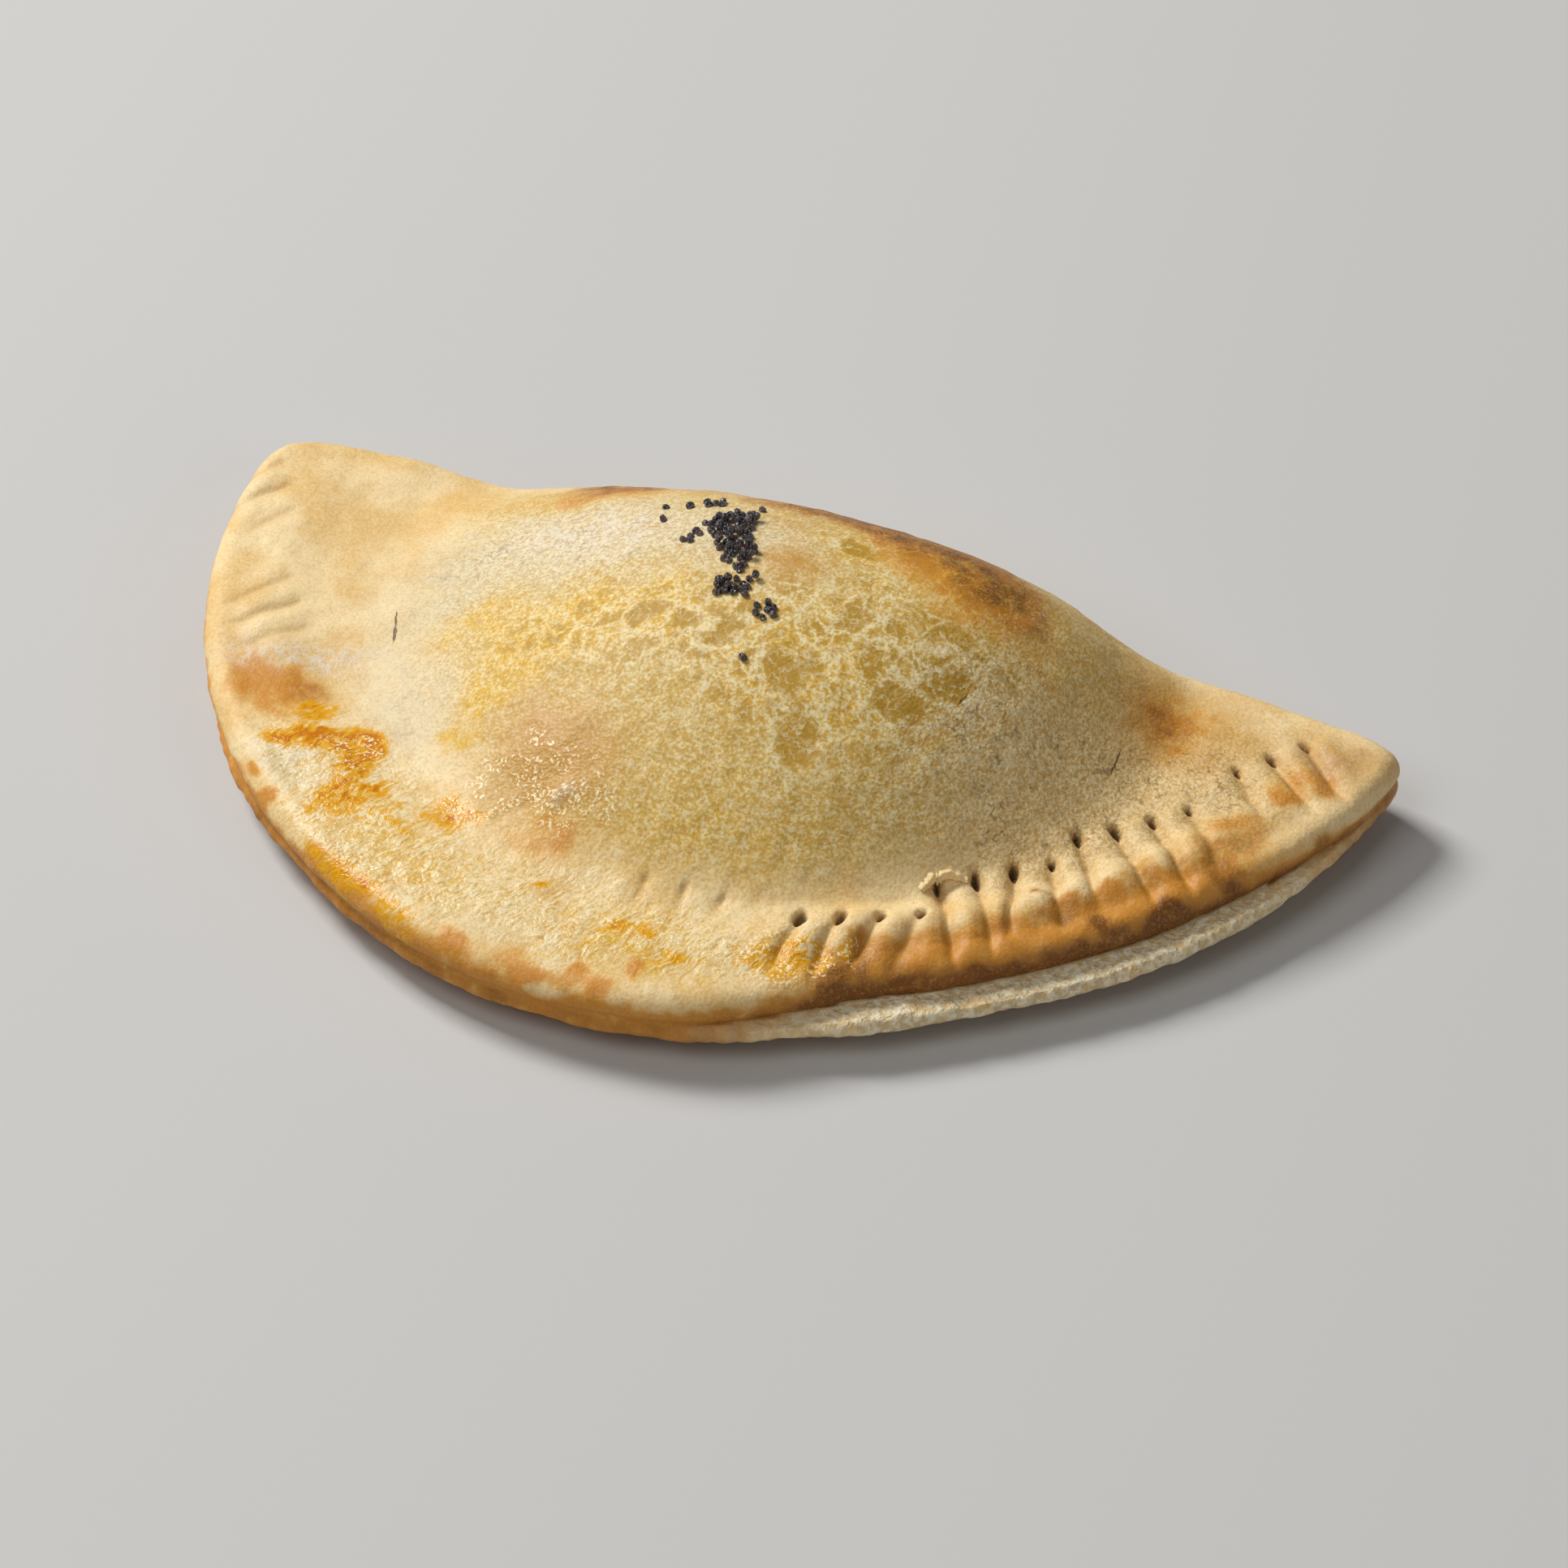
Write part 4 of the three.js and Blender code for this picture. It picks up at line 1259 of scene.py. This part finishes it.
lean = FLAKE_THICK * np.cos(turn) * (1 - 0.5 * rise) + FLAKE_LEAN * np.maximum(rise, 0) ** 2
flake = np.stack(
    [
        flake_x[:, None] + flake_side[:, :1] * lean,
        flake_v[:, None] + flake_side[:, 1:] * lean,
        flake_foot[:, None] + tall[:, None] * rise * np.where(rise > 0, 1, 0.3) - FLAKE_ROOT,
    ],
    axis=-1,
)
flake_points = np.concatenate([flake.reshape(-1, 3), flake[[0, -1]].mean(axis=1)])
flake_quads, flake_caps = capped_tube(FLAKE_RINGS, FLAKE_COLUMNS)
print("flake of", len(flake_quads) + len(flake_caps), "faces")

# %% The crust piece
crust_count = len(crust_points)
whole_points = np.concatenate([crust_points, flake_points])
whole_points[:, :2] -= CENTRE
whole_faces = [*crust_quads.tolist(), *base_fan.tolist()]
whole_faces += [*(flake_quads + crust_count).tolist(), *(flake_caps + crust_count).tolist()]
flake_fields = {"cell_distance": CELL_LIMIT, "yolky": 0.3, "golden": 0.2}
whole_fields = {
    name: np.concatenate([values, np.full(len(flake_points), flake_fields.get(name, 0.0))])
    for name, values in bake_marks.items()
}
crust = new_piece("crust", whole_points / 1000, whole_faces, dough, whole_fields)
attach(crust, "root")
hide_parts("empanada")
print("crust of", len(whole_points), "points")

# %% [markdown]
# ## Poppy seeds
# A pinch of poppy seeds marks the filling. Each seed is a blue-black kidney about a millimetre long. They
# lie close together in a few patches on the crest, so a close-packed lattice, jostled a little and cut to
# each patch, gives their places. All seeds are one mesh, because they are baked on and never move by
# themselves.

# %% Places of the seeds
SEED_SIZE = 1.05
SEED_PITCH = 1.08
SEED_SINK = 0.3
SEED_JOSTLE = 0.25
LATTICE_HALF = 9  # rows on each side of a patch's middle, more than any patch needs
HEAP_SHARE = 0.35  # of the seeds in the two large patches, how many more lie on top
HEAP_LIFT = 0.55
Patch = namedtuple("Patch", "x v long wide taper turn")
SEED_PATCHES = [
    Patch(-3.3, -15.2, 5.7, 2.3, 0.45, 122),
    Patch(0.0, -22.8, 2.1, 1.6, 0, 15),
    Patch(5.2, -25.0, 1.6, 1.3, 0, 20),
    Patch(-8.8, -15.5, 1.4, 1.0, 0, 60),
    Patch(-9.4, -7.7, 1.7, 0.7, 0, 15),
    Patch(-15.2, -9.4, 1.2, 0.4, 0, 25),
    Patch(-14.3, -12.4, 1.2, 0.4, 0, 25),
    Patch(-12.0, -9.1, 0.4, 0.4, 0, 0),
    Patch(-3.2, -8.2, 1.2, 0.4, 0, 25),
    Patch(5.6, -31.7, 0.4, 0.4, 0, 0),
]


def patch_places(patch):
    """Places of a close-packed lattice, every other row shifted by half a pitch, that fall inside a
    tapered ellipse."""
    steps = np.arange(-LATTICE_HALF, LATTICE_HALF + 1)
    row, column = (axis.ravel() for axis in np.meshgrid(steps, steps, indexing="ij"))
    along = row * SEED_PITCH * np.sqrt(0.75)
    across = (column + np.abs(row) % 2 / 2) * SEED_PITCH
    wide = patch.wide * (1 + patch.taper * along / patch.long)
    inside = (along / patch.long) ** 4 + (across / wide) ** 4 <= 1
    turn = np.radians(patch.turn)
    x = patch.x + along * np.cos(turn) - across * np.sin(turn)
    v = patch.v + along * np.sin(turn) + across * np.cos(turn)
    return np.stack([x, v], axis=1)[inside]


dice = np.random.default_rng(7)
laid_places = np.concatenate([patch_places(patch) for patch in SEED_PATCHES])
heap_places = np.concatenate([patch_places(patch) for patch in SEED_PATCHES[:2]])
heap_places = heap_places[dice.random(len(heap_places)) < HEAP_SHARE] + SEED_PITCH / 3
seed_places = np.concatenate([laid_places, heap_places])
seed_places += dice.uniform(-SEED_JOSTLE, SEED_JOSTLE, seed_places.shape)
seed_lift = np.where(np.arange(len(seed_places)) < len(laid_places), 0, HEAP_LIFT)
print(len(seed_places), "seeds lie on the crust")

# %% Shape of the seeds
SEED_RINGS = 5
SEED_COLUMNS = 9
SEED_HALF = SEED_SIZE * np.array([0.54, 0.46, 0.47])
HILUM = 0.2  # depth of the dent that makes a seed a kidney
HILUM_PLACE = np.array([0, 1, 0.2])
HILUM_SPREAD = 0.35
SEED_TILT = 0.35
SEED_GIRTH = (0.88, 1.08)

ring_turn = (np.pi * (np.arange(SEED_RINGS) + 1) / (SEED_RINGS + 1))[:, None]
column_turn = (2 * np.pi * np.arange(SEED_COLUMNS) / SEED_COLUMNS)[None]
ring_reach = np.sin(ring_turn)
ball_height = np.cos(ring_turn) + 0 * column_turn
ball = np.stack([ring_reach * np.cos(column_turn), ring_reach * np.sin(column_turn), ball_height], axis=-1)
ball = np.concatenate([ball.reshape(-1, 3), [[0, 0, 1], [0, 0, -1]]])
dent = HILUM * np.exp(-(((ball - HILUM_PLACE) ** 2).sum(axis=1) / HILUM_SPREAD))
kidney = ball * (1 - dent[:, None]) * SEED_HALF

foot_index = nearest_crust(seed_places[:, 0], seed_places[:, 1])
seed_up = crust_out[foot_index]
seed_foot = np.concatenate([seed_places, crust_points[foot_index, 2:]], axis=1)
tilt = unit(seed_up + SEED_TILT * dice.normal(size=seed_up.shape))
ahead = unit(np.cross(tilt, dice.normal(size=seed_up.shape)))
aside = np.cross(tilt, ahead)
girth = dice.uniform(*SEED_GIRTH, (len(seed_places), 1, 1))
middles = seed_foot + seed_up * (SEED_SIZE * (0.5 - SEED_SINK) + seed_lift[:, None])
turned_seeds = kidney[None] @ np.stack([ahead, aside, tilt], axis=1)
seed_points = (middles[:, None] + girth * turned_seeds).reshape(-1, 3)
seed_points[:, :2] -= CENTRE
print(len(kidney), "points in each seed")

# %% The seeds piece
one_quads, one_caps = capped_tube(SEED_RINGS, SEED_COLUMNS)
one_quads, one_caps = one_quads[:, ::-1], one_caps[:, ::-1]
offsets = len(kidney) * np.arange(len(seed_places))[:, None, None]
seed_quads = (one_quads[None] + offsets).reshape(-1, 4)
seed_caps = (one_caps[None] + offsets).reshape(-1, 3)

HUSK = colour("17141A")
HUSK_BLOOM = colour("55393A")
# the grey net of the husk is partly its own bloom, partly painted highlight that gives each seed lighter
# flecks
HUSK_NET_AND_SHEEN = colour("A5A1A8")
NET_SIZE = 0.34

seed_skin = Finish("poppy_skin", IOR=1.5, Coat_Weight=0.7, Coat_Roughness=0.12)
netting = 1 - seed_skin.walls(NET_SIZE, seed_skin.place).climb(0.0, 0.26)
bloom = seed_skin.cloud(1.1, 2)
husk = seed_skin.layered(HUSK, (bloom.climb(0.44, 0.6), HUSK_BLOOM), (netting * 0.5, HUSK_NET_AND_SHEEN))
husk_roughness = 0.28 + 0.2 * bloom
seed_skin.dress(Base_Color=husk, Roughness=husk_roughness, Normal=seed_skin.bump(netting * 0.09))
seeds = new_piece("poppy_seeds", seed_points / 1000, [*seed_quads.tolist(), *seed_caps.tolist()], seed_skin)
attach(seeds, "root")
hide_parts("empanada")
print(len(seed_quads) + len(seed_caps), "faces on all seeds")

# %% [markdown]
# ## Size
# To see whether the looks changed the part's size, the size of the finished model's box is printed beside
# the size of the CAD box.

# %% Compare the boxes
boxes = {"cad": cad_box, "visual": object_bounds()}
boxes = {name: [list(corner) for corner in box] for name, box in boxes.items()}
print({name: np.round(np.ptp(np.array(box), axis=0) * 1000, 2).tolist() for name, box in boxes.items()})
